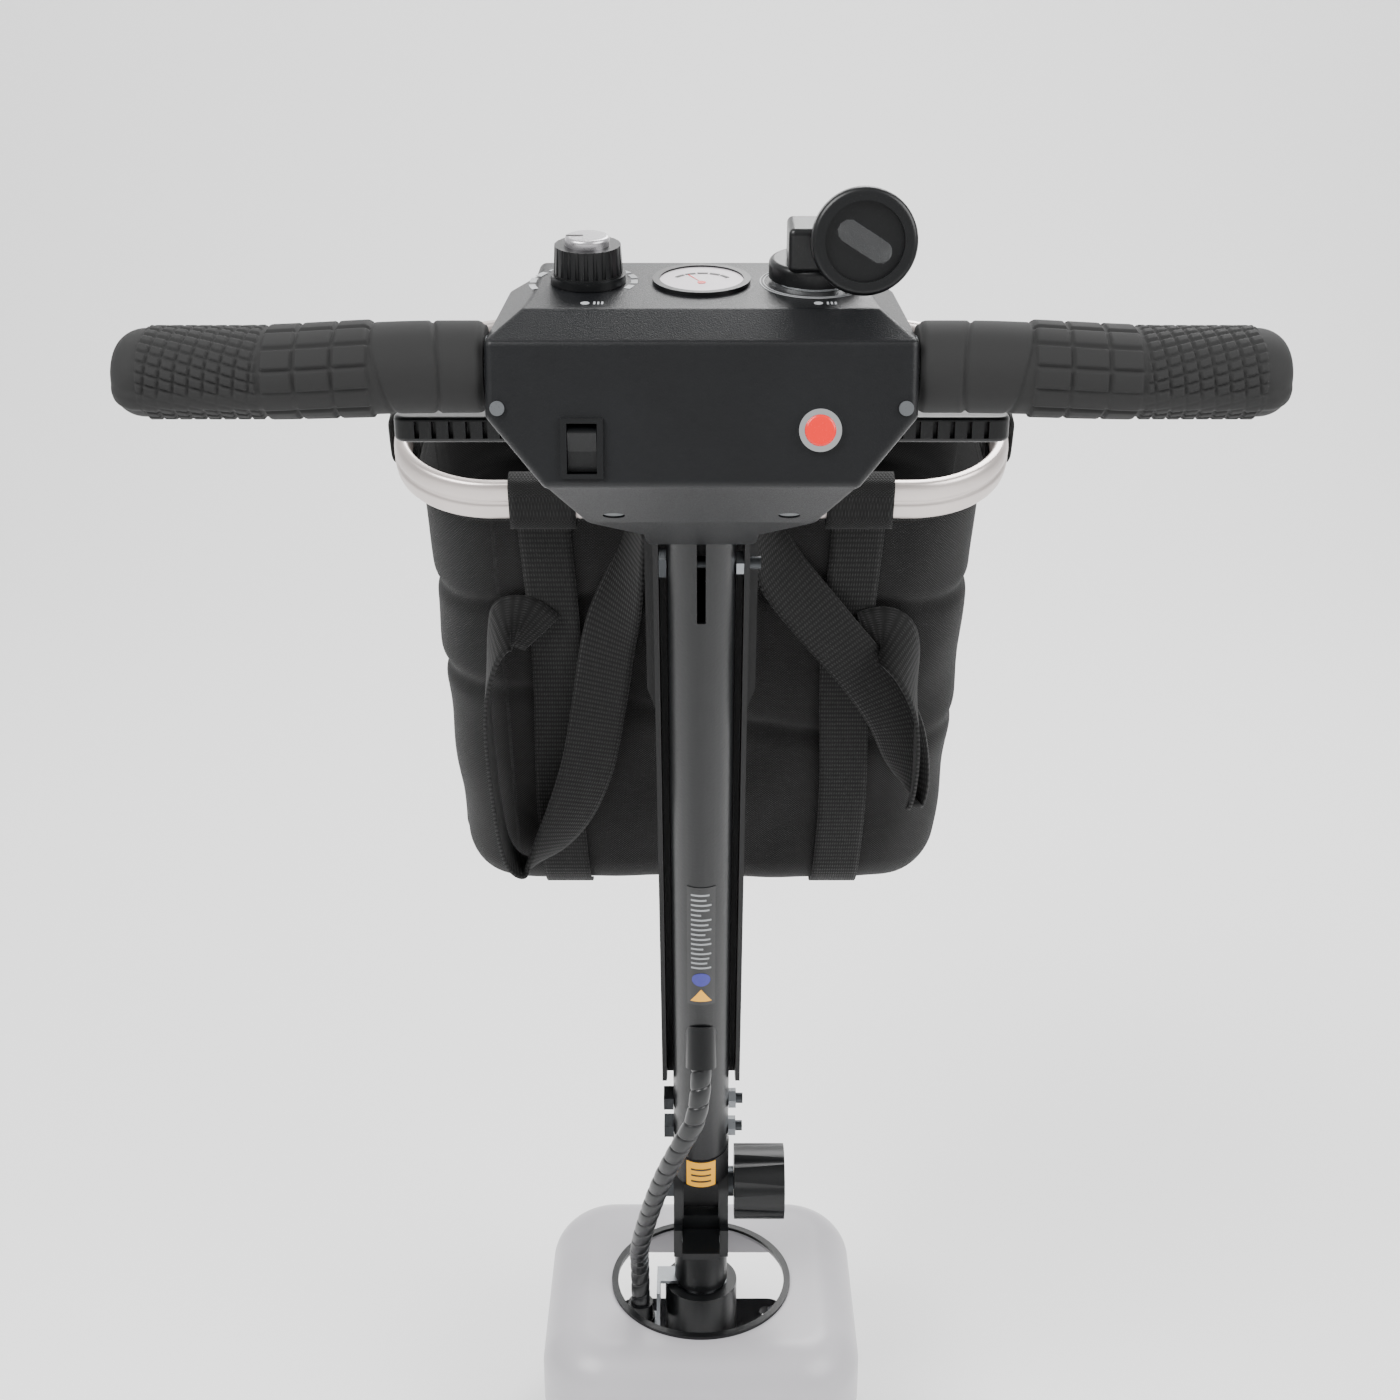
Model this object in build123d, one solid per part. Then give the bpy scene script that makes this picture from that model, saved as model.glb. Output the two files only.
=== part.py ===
from build123d import *
import math
import os

# Steering tiller of a mobility scooter. Millimetres, +Z up, rider on the -Y side, +X to the rider's right.
# The origin is the middle of the chassis flange's underside, on the vertical steering axis.

os.makedirs("parts", exist_ok=True)

# ---- driving dimensions -------------------------------------------------------------------------
RUN = 0.05                # radial running fit of a shaft in its bore
GAP = 0.3                 # gap between neighbours that move, or between a soft piece and a hard one
PIVOT_Z = 130.0           # fold pivot above the chassis flange
LEAN = 17.1               # column leans this far towards the rider
# steering head
FLANGE_W, FLANGE_D, FLANGE_T = 108.0, 88.0, 6.0
FLANGE_R = 12.0
BOLT_X, BOLT_Y, BOLT_R = 84.0, 64.0, 4.5
HEAD_R, HEAD_H = 22.0, 58.0
BEARING_OUT, BEARING_IN, BEARING_H = 16.0, 10.0, 7.0
SEAT_LOW, SHOULDER = 10.0, 3.0
COWL_W, COWL_FRONT, COWL_BACK = 190.0, 92.0, 80.0
COWL_H, COWL_WALL, COWL_R = 50.0, 3.0, 26.0
COWL_HOLE_R = 52.0
# stem and hinge
SEAT_R, SEAT_LEN = 9.5, 24.0   # turned seat for a steering arm at the steerer's foot
SHELL_ROUND = 3.0
SLOTS, SLOT_PITCH, SLOT_W = 6, 6.3, 1.8   # grip slots in the rider's face of each paddle
SLOT_FROM_TIP, SLOT_TALL, SLOT_BACK = 9.0, 6.4, 4.0
SHAFT_LOW = 40.0          # steerer below the flange underside
YOKE_HALF_W, YOKE_HALF_D = 16.3, 15.0
CHEEK_IN = 10.4
EYE_R = 15.0
YOKE_STEP = 17.0          # yoke block's top, below the pivot
YOKE_BASE = 40.0          # yoke block's underside, below the pivot
BOLT_SHANK_R = 5.0
LEVER_Z, LEVER_W, LEVER_OUT = 29.0, 22.0, 18.0
LEVER_PIN_R, LEVER_PIN_Y, LEVER_HUB_R = 3.0, -16.5, 5.0
EAR_TOP, EAR_DEEP = 21.0, 4.0
CROWN_R = 16.0
KNOB_R, KNOB_X, KNOB_L, KNOB_LOBES = 22.3, 19.8, 30.0, 8
# column
TUBE_R, TUBE_WALL = 15.9, 2.0
TUBE_START, TUBE_END = 40.0, 516.0
COLLAR_START = 15.5
CHANNEL_HALF_W, CHANNEL_T = 22.0, 2.5
CHANNEL_START, CHANNEL_END = 83.0, 470.0
CHANNEL_RIDER = 4.0
CHANNEL_FRONT = TUBE_R + RUN + CHANNEL_T
THROUGH_S = (53.0, 78.0)
THROUGH_R = 3.0
GROMMET_S, GROMMET_R, PLUG_R = 142.0, 8.4, 6.5
GROMMET_END_S, GROMMET_END_D = 134.0, -24.0
GROMMET_DROP = 55.0       # the outlet points this far below straight out
LABEL_S0, LABEL_S1, LABEL_HALF = 175.5, 264.0, 7.4
SLOT_S, SLOT_HALF = 432.0, 2.0
CONSOLE_BOLT_S = (455.0, 486.0)
PLATE_BOLT_S = (362.0, 432.0)
# bag and its frame
RIM_S, RIM_NEAR, RIM_FAR, RIM_HALF = 463.0, 40.0, 198.0, 145.0
RIM_TALL, RIM_THICK, RIM_CORNER = 20.0, 8.0, 48.0
BAG_HALF, BAG_WALL = 137.0, 3.0
BAG_NEAR, BAG_FAR, BAG_BOTTOM = 47.0, 191.0, 188.0
BAG_R, BAG_FOOT_R = 38.0, 26.0
BOARD_T = 4.0
WEB_W, WEB_T, WEB_X = 25.0, 1.6, 74.0
BRACKET_S0, BRACKET_S1, BRACKET_HALF = 340.0, 456.0, 26.5
BRACKET_T = 3.0
# handlebar and console, from the pivot
BAR_Y, BAR_Z, BAR_R, BAR_HALF = -282.0, 556.0, 11.1, 200.0
GRIP_IN, GRIP_OUT, GRIP_R = 76.6, 207.0, 17.4
WING = 9.0
PART_Z = 568.0
FACE_Y, PANEL_Y, PANEL_Z = -298.0, -283.0, 577.0
PANEL_TILT, PANEL_D = 7.5, 55.0
CON_HALF, CON_TOP_HALF, CON_LOW_HALF, CON_WALL = 76.0, 62.0, 55.0, 3.0
NECK_HALF = 40.0
ARM_HALF = 24.5
# controls, on the panel
CONTROL_X, CONTROL_V = 41.5, 31.0
GAUGE_R, DIAL_R, DIAL_H = 18.0, 13.8, 14.0
SHAFT_R = 3.0
KEY_R, KEY_H, DISH_R = 17.0, 9.0, 18.7
# controls, on the rider's face
FACE_Z = 532.0
HORN_V, BAR_SCREW_X, BAR_SCREW_V = 6.5, 71.5, 14.0
ROCKER_X, ROCKER_W, ROCKER_H = -42.0, 15.0, 21.0
HORN_X, HORN_R, HORN_CAP_R = 41.5, 7.5, 5.5
# throttle
PADDLE_Z, PADDLE_TALL, PADDLE_DEEP, PADDLE_HALF = 530.0, 9.6, 13.0, 114.0
THROTTLE_Y = -262.0
THROTTLE_SWING = 9.0
# wiring harness
CABLE_R = 5.8


# ---- helpers ------------------------------------------------------------------------------------
def save(name, *solids):
    shape = solids[0] if len(solids) == 1 else Compound(children=list(solids))
    export_step(shape, f"parts/{name}.step")


def at_pivot(y, z):
    """A point given from the fold pivot, in the part's own frame."""
    return (y, z + PIVOT_Z)


COLUMN = Plane(origin=(0, 0, PIVOT_Z), x_dir=(1, 0, 0),
               z_dir=(0, -math.sin(math.radians(LEAN)), math.cos(math.radians(LEAN)))).location
PANEL = Plane(origin=(0, PANEL_Y, PANEL_Z + PIVOT_Z), x_dir=(1, 0, 0),
              z_dir=(0, -math.sin(math.radians(PANEL_TILT)), math.cos(math.radians(PANEL_TILT)))).location
FACE_TILT = math.degrees(math.atan2(10.0, 49.0))
FACE = Plane(origin=(0, FACE_Y - (PART_Z - FACE_Z) * math.tan(math.radians(FACE_TILT)), FACE_Z + PIVOT_Z),
             x_dir=(1, 0, 0),
             z_dir=(0, -math.cos(math.radians(FACE_TILT)), math.sin(math.radians(FACE_TILT)))).location


def rod(r, a, b, where=(0, 0), axis="z"):
    """Round bar from a to b along an axis, at the two other coordinates `where`."""
    u, v = where
    bar = Cylinder(r, b - a, align=(Align.CENTER, Align.CENTER, Align.MIN))
    if axis == "z":
        return Pos(u, v, a) * bar
    if axis == "x":
        return Pos(a, u, v) * Rot(0, 90, 0) * bar
    return Pos(u, a, v) * Rot(-90, 0, 0) * bar


def block(x0, x1, y0, y1, z0, z1):
    return Pos((x0 + x1) / 2, (y0 + y1) / 2, (z0 + z1) / 2) * Box(x1 - x0, y1 - y0, z1 - z0)


def side_prism(points, half):
    """A (y, z) outline carried across the object, from -half to half."""
    return extrude(Plane.YZ * Polygon(*points, align=None), amount=half, both=True)


def face_prism(points, y0, y1):
    """An (x, z) outline carried along Y, from y0 to y1."""
    plane = Plane(origin=(0, y1, 0), x_dir=(1, 0, 0), z_dir=(0, -1, 0))
    return extrude(plane * Polygon(*points, align=None), amount=y1 - y0, dir=(0, -1, 0))


def round_plate(w, d, r, h, z0=0.0):
    return Pos(0, 0, z0) * extrude(RectangleRounded(w, d, r), amount=h)


def hexagon(r_flat, a, b, where, axis="x"):
    """Hexagonal bar across flats 2 * r_flat."""
    bar = extrude(RegularPolygon(r_flat, 6, major_radius=False), amount=b - a)
    u, v = where
    if axis == "x":
        return Pos(a, u, v) * Rot(0, 90, 0) * bar
    return Pos(u, v, a) * bar


def hexagon_y(r_flat, a, b, s):
    """Hexagonal bar along Y at x = 0 and height s."""
    return Pos(0, a, s) * Rot(-90, 0, 0) * extrude(RegularPolygon(r_flat, 6, major_radius=False), amount=b - a)


# ---- steering head: what the chassis holds ------------------------------------------------------
flange = round_plate(FLANGE_W, FLANGE_D, FLANGE_R, FLANGE_T)
for sx in (-1, 1):
    for sy in (-1, 1):
        flange -= rod(BOLT_R, -1, FLANGE_T + 1, (sx * BOLT_X / 2, sy * BOLT_Y / 2))
head = flange + rod(HEAD_R, 0, HEAD_H)
head -= rod(BEARING_OUT - SHOULDER, -1, HEAD_H + 1)
head -= rod(BEARING_OUT + RUN, -1, SEAT_LOW)
head -= rod(BEARING_OUT + RUN, HEAD_H - BEARING_H - 2, HEAD_H + 1)
save("head_tube", head)

LOW_BEARING_Z = SEAT_LOW - BEARING_H
TOP_BEARING_Z = HEAD_H - BEARING_H - 2
save("head_bearings", *[rod(BEARING_OUT, z, z + BEARING_H) - rod(BEARING_IN + RUN, z - 1, z + BEARING_H + 1)
                        for z in (LOW_BEARING_Z, TOP_BEARING_Z)])

cowl_mid = (COWL_FRONT - COWL_BACK) / 2
cowl_depth = COWL_FRONT + COWL_BACK
cowl = Pos(0, cowl_mid, FLANGE_T + 1) * extrude(RectangleRounded(COWL_W, cowl_depth, 40), amount=COWL_H)
cowl = fillet(cowl.faces().sort_by(Axis.Z)[-1].edges(), COWL_R)
core = Pos(0, cowl_mid, FLANGE_T) * extrude(
    RectangleRounded(COWL_W - 2 * COWL_WALL, cowl_depth - 2 * COWL_WALL, 40 - COWL_WALL),
    amount=COWL_H + 1 - COWL_WALL)
core = fillet(core.faces().sort_by(Axis.Z)[-1].edges(), COWL_R - COWL_WALL)
cowl -= core
cowl -= rod(COWL_HOLE_R, 0, COWL_H + 50)
COWL_LUG_X = FLANGE_W / 2 - 3
lug_y = 25.0
for sx in (-1, 1):
    for sy in (-1, 1):
        inner = min(sx * (COWL_LUG_X - 8), sx * (COWL_W / 2 - 1))
        outer = max(sx * (COWL_LUG_X - 8), sx * (COWL_W / 2 - 1))
        lug = block(inner, outer, sy * lug_y - 6, sy * lug_y + 6, FLANGE_T + 1, FLANGE_T + 4)
        cowl += lug - rod(2.2, 0, 30, (sx * (COWL_LUG_X - 4), sy * lug_y))
save("front_cowl", cowl)
cowl_screws = []
for sx in (-1, 1):
    for sy in (-1, 1):
        spot = (sx * (COWL_LUG_X - 4), sy * lug_y)
        thread = rod(2.0, FLANGE_T, FLANGE_T + 5, spot)
        cowl_screws.append(thread + rod(4.0, FLANGE_T + 4, FLANGE_T + 7, spot))
save("cowl_screws", *cowl_screws)
trim_r = COWL_HOLE_R
trim = rod(trim_r + 3, FLANGE_T + 1 + COWL_H, FLANGE_T + COWL_H + 3)
trim -= rod(trim_r - 1, 0, FLANGE_T + COWL_H + 9)
save("cowl_trim", trim)

# ---- stem: turns with the bars -----------------------------------------------------------------
stem_top = PIVOT_Z - YOKE_BASE
shaft = rod(BEARING_IN, SEAT_LEN - SHAFT_LOW, stem_top) + rod(SEAT_R, -SHAFT_LOW, SEAT_LEN - SHAFT_LOW + 1)
save("steerer_shaft", shaft)
washer = rod(12.5, -3, LOW_BEARING_Z) - rod(BEARING_IN + RUN, -9, 9)
save("steerer_washer", washer)
nut = hexagon(15, -14, -3, (0, 0), "z") - rod(BEARING_IN + RUN, -20, 9)
save("steerer_nut", nut)
crown = rod(12.5, TOP_BEARING_Z + BEARING_H, HEAD_H + 2)
crown += rod(CROWN_R, HEAD_H + 2, stem_top)
crown -= rod(BEARING_IN + RUN, 0, stem_top + 1)
save("stem_crown", crown)

pz = PIVOT_Z
yoke = block(-YOKE_HALF_W, YOKE_HALF_W, -YOKE_HALF_D, YOKE_HALF_D, stem_top, pz - YOKE_STEP)
for sx in (-1, 1):
    x0 = min(sx * CHEEK_IN, sx * YOKE_HALF_W)
    x1 = max(sx * CHEEK_IN, sx * YOKE_HALF_W)
    yoke += block(x0, x1, -YOKE_HALF_D, YOKE_HALF_D, pz - YOKE_STEP - 1, pz)
    yoke += rod(EYE_R, x0, x1, (0, pz), "x")
yoke += block(-YOKE_HALF_W, YOKE_HALF_W, LEVER_PIN_Y - EAR_DEEP, 0, stem_top, pz - EAR_TOP)
lever_z = PIVOT_Z - LEVER_Z
slot_half = LEVER_W / 2 + GAP
yoke -= block(-slot_half, slot_half, -40, LEVER_PIN_Y + LEVER_HUB_R + GAP, stem_top - 1, pz - YOKE_STEP + 1)
yoke -= rod(LEVER_PIN_R + RUN, -30, 30, (LEVER_PIN_Y, lever_z), "x")
yoke -= rod(BOLT_SHANK_R + RUN, -30, 30, (0, pz), "x")
save("hinge_yoke", yoke)

BOLT_HEAD = 6.0
hinge_bolt = rod(BOLT_SHANK_R, -YOKE_HALF_W - BOLT_HEAD, KNOB_X + 16, (0, pz), "x")
hinge_bolt += hexagon(8.5, -YOKE_HALF_W - BOLT_HEAD, -YOKE_HALF_W, (0, pz))
save("hinge_bolt", hinge_bolt)
spacer = rod(9.0, YOKE_HALF_W, KNOB_X - GAP, (0, pz), "x") - rod(BOLT_SHANK_R + RUN, 0, 60, (0, pz), "x")
save("clamp_washer", spacer)
save("lever_pin", rod(LEVER_PIN_R, -YOKE_HALF_W, YOKE_HALF_W, (LEVER_PIN_Y, lever_z), "x"))

lever = rod(LEVER_HUB_R, -LEVER_W / 2, LEVER_W / 2, (LEVER_PIN_Y, lever_z), "x")
lever += side_prism([(LEVER_PIN_Y, lever_z - LEVER_HUB_R), (LEVER_PIN_Y - LEVER_OUT, lever_z - 2),
                     (LEVER_PIN_Y - LEVER_OUT - 1, lever_z + 3), (LEVER_PIN_Y, lever_z + LEVER_HUB_R)],
                    LEVER_W / 2)
lever -= rod(LEVER_PIN_R + RUN, -30, 30, (LEVER_PIN_Y, lever_z), "x")
save("latch_lever", lever)

knob = rod(KNOB_R, KNOB_X, KNOB_X + KNOB_L, (0, pz), "x")
for i in range(KNOB_LOBES):
    a = 2 * math.pi * (i + 0.5) / KNOB_LOBES
    reach = KNOB_R + 7.2
    knob -= Pos(KNOB_X - 1, reach * math.cos(a), pz + reach * math.sin(a)) * Rot(0, 90, 0) * Cone(
        9.0, 7.6, KNOB_L + 2, align=(Align.CENTER, Align.CENTER, Align.MIN))
INSERT_R = 9.0
knob -= rod(INSERT_R, KNOB_X - 1, KNOB_X + 20, (0, pz), "x")
save("fold_knob", knob)
insert = rod(INSERT_R, KNOB_X, KNOB_X + 20, (0, pz), "x")
insert -= rod(BOLT_SHANK_R + RUN, KNOB_X - 1, KNOB_X + 17, (0, pz), "x")
save("knob_insert", insert)

# ---- column: everything below is made upright on the pivot, then leaned --------------------------
knuckle = block(-CHEEK_IN + RUN, CHEEK_IN - RUN, -EYE_R, EYE_R, 0, COLLAR_START + 1)
knuckle += rod(EYE_R, -CHEEK_IN + RUN, CHEEK_IN - RUN, (0, 0), "x")
knuckle += rod(TUBE_R + 0.6, COLLAR_START, TUBE_START)
knuckle += rod(TUBE_R - TUBE_WALL - RUN, TUBE_START, THROUGH_S[1] + 13)
knuckle -= rod(BOLT_SHANK_R + RUN, -30, 30, (0, 0), "x")
for s in THROUGH_S:
    knuckle -= rod(THROUGH_R + RUN, -30, 30, (0, s), "x")
save("hinge_knuckle", COLUMN * knuckle)

sticker = rod(TUBE_R + 0.95, COLLAR_START + 1, TUBE_START - 1) - rod(TUBE_R + 0.65, 0, 40)
sticker &= block(-8.5, 8.5, -40, 0, 0, 40)
save("caution_label", COLUMN * sticker)

tube = rod(TUBE_R, TUBE_START, TUBE_END) - rod(TUBE_R - TUBE_WALL, TUBE_START - 1, TUBE_END + 1)
for s in THROUGH_S:
    tube -= rod(THROUGH_R + RUN, -30, 30, (0, s), "x")
tube -= rod(PLUG_R + RUN, -40, 0, (0, GROMMET_S), "y")
tube -= block(-SLOT_HALF, SLOT_HALF, -40, 0, SLOT_S, TUBE_END + 1)
for s in CONSOLE_BOLT_S:
    tube -= rod(THROUGH_R + RUN, -30, 30, (0, s), "x")
for s in PLATE_BOLT_S:
    tube -= rod(THROUGH_R + RUN, 0, 60, (0, s), "y")
save("column_tube", COLUMN * tube)

half = CHANNEL_HALF_W
channel = block(-half, half, -CHANNEL_RIDER, CHANNEL_FRONT, CHANNEL_START, CHANNEL_END)
channel -= block(-half + CHANNEL_T, half - CHANNEL_T, -60, CHANNEL_FRONT - CHANNEL_T, 0, 600)
channel -= side_prism([(-40, CHANNEL_START - 1), (CHANNEL_FRONT - 6, CHANNEL_START - 1),
                       (-CHANNEL_RIDER - 1, CHANNEL_START + 16), (-40, CHANNEL_START + 16)], half + 1)
for s in CONSOLE_BOLT_S:
    channel -= rod(THROUGH_R + RUN, -60, 60, (0, s), "x")
for s in PLATE_BOLT_S:
    channel -= rod(THROUGH_R + RUN, 0, 60, (0, s), "y")
save("back_channel", COLUMN * channel)


def through_set(s, head, nut, end):
    """A bolt across the column: square head on the left of the tube, hexagon nut on the right."""
    bolt = rod(THROUGH_R, -TUBE_R - head, end, (0, s), "x")
    bolt += block(-TUBE_R - head, -TUBE_R, -4.8, 4.8, s - 4.8, s + 4.8)
    ring = hexagon(5.0, TUBE_R, TUBE_R + nut, (0, s)) - rod(THROUGH_R + RUN, 0, 60, (0, s), "x")
    return COLUMN * bolt, COLUMN * ring


low_sets = [through_set(s, 5.6, 4.2, 24.0) for s in THROUGH_S]
top_sets = [through_set(s, 3.4, 3.4, 27.0) for s in CONSOLE_BOLT_S]
save("column_bolts", *[bolt for bolt, ring in low_sets + top_sets])
save("column_nuts", *[ring for bolt, ring in low_sets + top_sets])

outlet = Pos(0, GROMMET_END_D, GROMMET_END_S) * Rot(90 + GROMMET_DROP, 0, 0)
grommet = outlet * Cylinder(GROMMET_R, 24, align=(Align.CENTER, Align.CENTER, Align.MAX))
grommet -= rod(TUBE_R + RUN, 0, 300)
grommet = grommet.solids().sort_by(Axis.Y)[0]
grommet += rod(PLUG_R, -TUBE_R - 3, -TUBE_R + TUBE_WALL + 1.2, (0, GROMMET_S), "y")
save("cable_grommet", COLUMN * grommet)

label = rod(TUBE_R + 0.35, LABEL_S0, LABEL_S1) - rod(TUBE_R + 0.05, 0, 400)
label &= block(-LABEL_HALF, LABEL_HALF, -40, 0, 0, 400)
save("column_label", COLUMN * label)

# ---- bag frame, bag and straps -------------------------------------------------------------------
frame_mid = (RIM_NEAR + RIM_FAR) / 2
frame_depth = RIM_FAR - RIM_NEAR


def rim_ring(grow, low, high):
    """Rounded rectangle round the rim's centre line, grown by `grow`."""
    w = 2 * (RIM_HALF + grow)
    d = frame_depth + 2 * grow
    return Pos(0, frame_mid, low) * extrude(RectangleRounded(w, d, RIM_CORNER + grow), amount=high - low)


thick = RIM_THICK / 2
tall = RIM_TALL / 2
ring = rim_ring(thick, RIM_S - tall, RIM_S + tall) - rim_ring(-thick, RIM_S - tall - 1, RIM_S + tall + 1)
save("bag_frame", COLUMN * ring)

plate_in = CHANNEL_FRONT
plate = block(-BRACKET_HALF, BRACKET_HALF, plate_in, plate_in + BRACKET_T, BRACKET_S0, BRACKET_S1)
plate += block(-BRACKET_HALF, BRACKET_HALF, plate_in, RIM_NEAR - thick, RIM_S - tall, RIM_S + tall)
for sx in (-1, 1):
    cut = face_prism([(sx * BRACKET_HALF * 1.1, BRACKET_S0 - 1), (sx * (half - 4), BRACKET_S0 - 1),
                      (sx * BRACKET_HALF * 1.1, BRACKET_S0 + 36)], 0, 60)
    plate -= cut
for s in PLATE_BOLT_S:
    plate -= rod(THROUGH_R + RUN, 0, 60, (0, s), "y")
save("bag_bracket", COLUMN * plate)

plate_bolts = []
for s in PLATE_BOLT_S:
    front = CHANNEL_FRONT + BRACKET_T
    plate_bolts.append(COLUMN * (rod(THROUGH_R, TUBE_R - TUBE_WALL - 2, front, (0, s), "y")
                                 + hexagon_y(5.0, front, front + 4, s)))
save("bracket_bolts", *plate_bolts)

bag_mid = (BAG_NEAR + BAG_FAR) / 2
bag_depth = BAG_FAR - BAG_NEAR
bag_top = RIM_S + tall
bag = Pos(0, bag_mid, BAG_BOTTOM) * extrude(RectangleRounded(2 * BAG_HALF, bag_depth, BAG_R),
                                            amount=bag_top - BAG_BOTTOM)
bag = fillet(bag.faces().sort_by(Axis.Z)[0].edges(), BAG_FOOT_R)
hollow = Pos(0, bag_mid, BAG_BOTTOM + BAG_WALL) * extrude(
    RectangleRounded(2 * (BAG_HALF - BAG_WALL), bag_depth - 2 * BAG_WALL, BAG_R - BAG_WALL),
    amount=bag_top - BAG_BOTTOM)
hollow = fillet(hollow.faces().sort_by(Axis.Z)[0].edges(), BAG_FOOT_R - BAG_WALL)
save("bag_shell", COLUMN * (bag - hollow))
board_in = BAG_FOOT_R + 2
board = Pos(0, bag_mid, BAG_BOTTOM + BAG_WALL) * extrude(
    RectangleRounded(2 * (BAG_HALF - board_in), bag_depth - 2 * board_in, 14), amount=BOARD_T)
save("bag_base_board", COLUMN * board)

SLEEVE_W, SLEEVE_T, SLEEVE_S = 31.0, 2.0, 13.0
around = rim_ring(thick + 0.1, RIM_S - tall - 0.1, RIM_S + tall + 0.1)
around -= rim_ring(-thick - 0.1, RIM_S - tall - 1, RIM_S + tall + 1)
sleeves = []
for sx in (-1, 1):
    x0 = sx * WEB_X - SLEEVE_W / 2
    near_d = RIM_NEAR - thick - SLEEVE_T
    near = block(x0, x0 + SLEEVE_W, near_d, BAG_NEAR, RIM_S - SLEEVE_S, RIM_S + SLEEVE_S)
    far = block(x0, x0 + SLEEVE_W, BAG_FAR, RIM_FAR + thick + SLEEVE_T, RIM_S - SLEEVE_S, RIM_S + SLEEVE_S)
    sleeves += [COLUMN * (near - around), COLUMN * (far - around)]
save("bag_sleeves", *sleeves)
TAB_W = 26.0
tabs = []
for sx in (-1, 1):
    for y in (RIM_NEAR + RIM_CORNER + 4,):
        x_out = RIM_HALF + thick + SLEEVE_T
        xs = sorted((sx * BAG_HALF, sx * x_out))
        tab = block(xs[0], xs[1], y, y + TAB_W, RIM_S - SLEEVE_S, RIM_S + SLEEVE_S) - around
        tabs.append(COLUMN * tab)
save("corner_tabs", *tabs)
webs = []
for sx in (-1, 1):
    x0 = sx * WEB_X - WEB_W / 2
    webs.append(COLUMN * block(x0, x0 + WEB_W, BAG_NEAR - WEB_T, BAG_NEAR, BAG_BOTTOM + BAG_FOOT_R,
                               RIM_S - SLEEVE_S))
save("bag_webbing", *webs)

HANDLE_IN, HANDLE_OUT, HANDLE_EDGE = 32.0, 106.0, 10.0
HANDLE_LOW, HANDLE_JOIN, HANDLE_Y = 206.0, 395.0, 40.5
handles = []
for sx in (-1, 1):
    def span(a, b, y0, y1, s0, s1):
        xs = sorted((sx * a, sx * b))
        return block(xs[0], xs[1], y0, y1, s0, s1)
    y0, y1 = HANDLE_Y, HANDLE_Y + 2
    loop = span(HANDLE_IN, HANDLE_IN + WEB_W, y0, y1, HANDLE_LOW, RIM_S - tall)
    loop += span(HANDLE_IN, HANDLE_OUT, y0, y1, HANDLE_LOW, HANDLE_LOW + 12)
    loop += span(HANDLE_OUT - HANDLE_EDGE, HANDLE_OUT, y0, y1, HANDLE_LOW, HANDLE_JOIN)
    loop += span(WEB_X, HANDLE_OUT, y0, y1, HANDLE_JOIN - 12, HANDLE_JOIN)
    loop += span(WEB_X, WEB_X + 10, y0, BAG_NEAR - WEB_T, HANDLE_JOIN - 12, HANDLE_JOIN)
    handles.append(COLUMN * loop)
save("bag_handles", *handles)

# ---- handlebar and console -----------------------------------------------------------------------
bar_y, bar_z = at_pivot(BAR_Y, BAR_Z)
bar = rod(BAR_R, -BAR_HALF, BAR_HALF, (bar_y, bar_z), "x")
bar -= rod(BAR_R - 2, -BAR_HALF - 1, BAR_HALF + 1, (bar_y, bar_z), "x")
save("handlebar", bar)


def grip_section(x, grow, drop):
    """Oval of a grip at x, wider towards the rider by `grow`."""
    plane = Plane(origin=(x, bar_y - grow / 2, bar_z - drop), x_dir=(0, 1, 0), z_dir=(1, 0, 0))
    return plane * Ellipse(GRIP_R + grow / 2, GRIP_R - drop)


for name, sx in (("grip_left", -1), ("grip_right", 1)):
    body = loft([grip_section(sx * GRIP_IN, 0, 0), grip_section(sx * (GRIP_IN + 60), WING * 0.6, 0.5),
                 grip_section(sx * (GRIP_OUT - 8), WING, 1), grip_section(sx * GRIP_OUT, WING - 6, 3)])
    xs = sorted((0, sx * BAR_HALF))
    body -= rod(BAR_R + RUN, xs[0] - 0.1, xs[1] + 0.1, (bar_y, bar_z), "x")
    save(name, body)


def along_column(s, d):
    """(y, z) of a point s up the column and d ahead of its axis."""
    a = math.radians(LEAN)
    return at_pivot(-s * math.sin(a) + d * math.cos(a), s * math.cos(a) + d * math.sin(a))


ARM_S0, ARM_S1, ARM_D = 478.0, 532.0, TUBE_R + GAP + CON_WALL
near_low = at_pivot(FACE_Y - 10, PART_Z - 49)
panel_far = at_pivot(PANEL_Y + PANEL_D, PANEL_Z + PANEL_D * math.tan(math.radians(PANEL_TILT)))
outline_side = [at_pivot(FACE_Y, PART_Z), near_low, at_pivot(-258, 491), along_column(ARM_S0, -ARM_D),
                along_column(ARM_S0, ARM_D), along_column(ARM_S1, ARM_D), at_pivot(-200, 569),
                panel_far, at_pivot(PANEL_Y, PANEL_Z)]
right = [(CON_TOP_HALF - 6, 610), (CON_TOP_HALF, PANEL_Z + 1), (CON_HALF, PART_Z), (CON_HALF, BAR_Z - 14),
         (CON_LOW_HALF, PART_Z - 51), (NECK_HALF + 4, 490), (ARM_HALF, 470), (ARM_HALF, 430)]
outline_front = [(x, z + PIVOT_Z) for x, z in right] + [(-x, z + PIVOT_Z) for x, z in reversed(right)]


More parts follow.
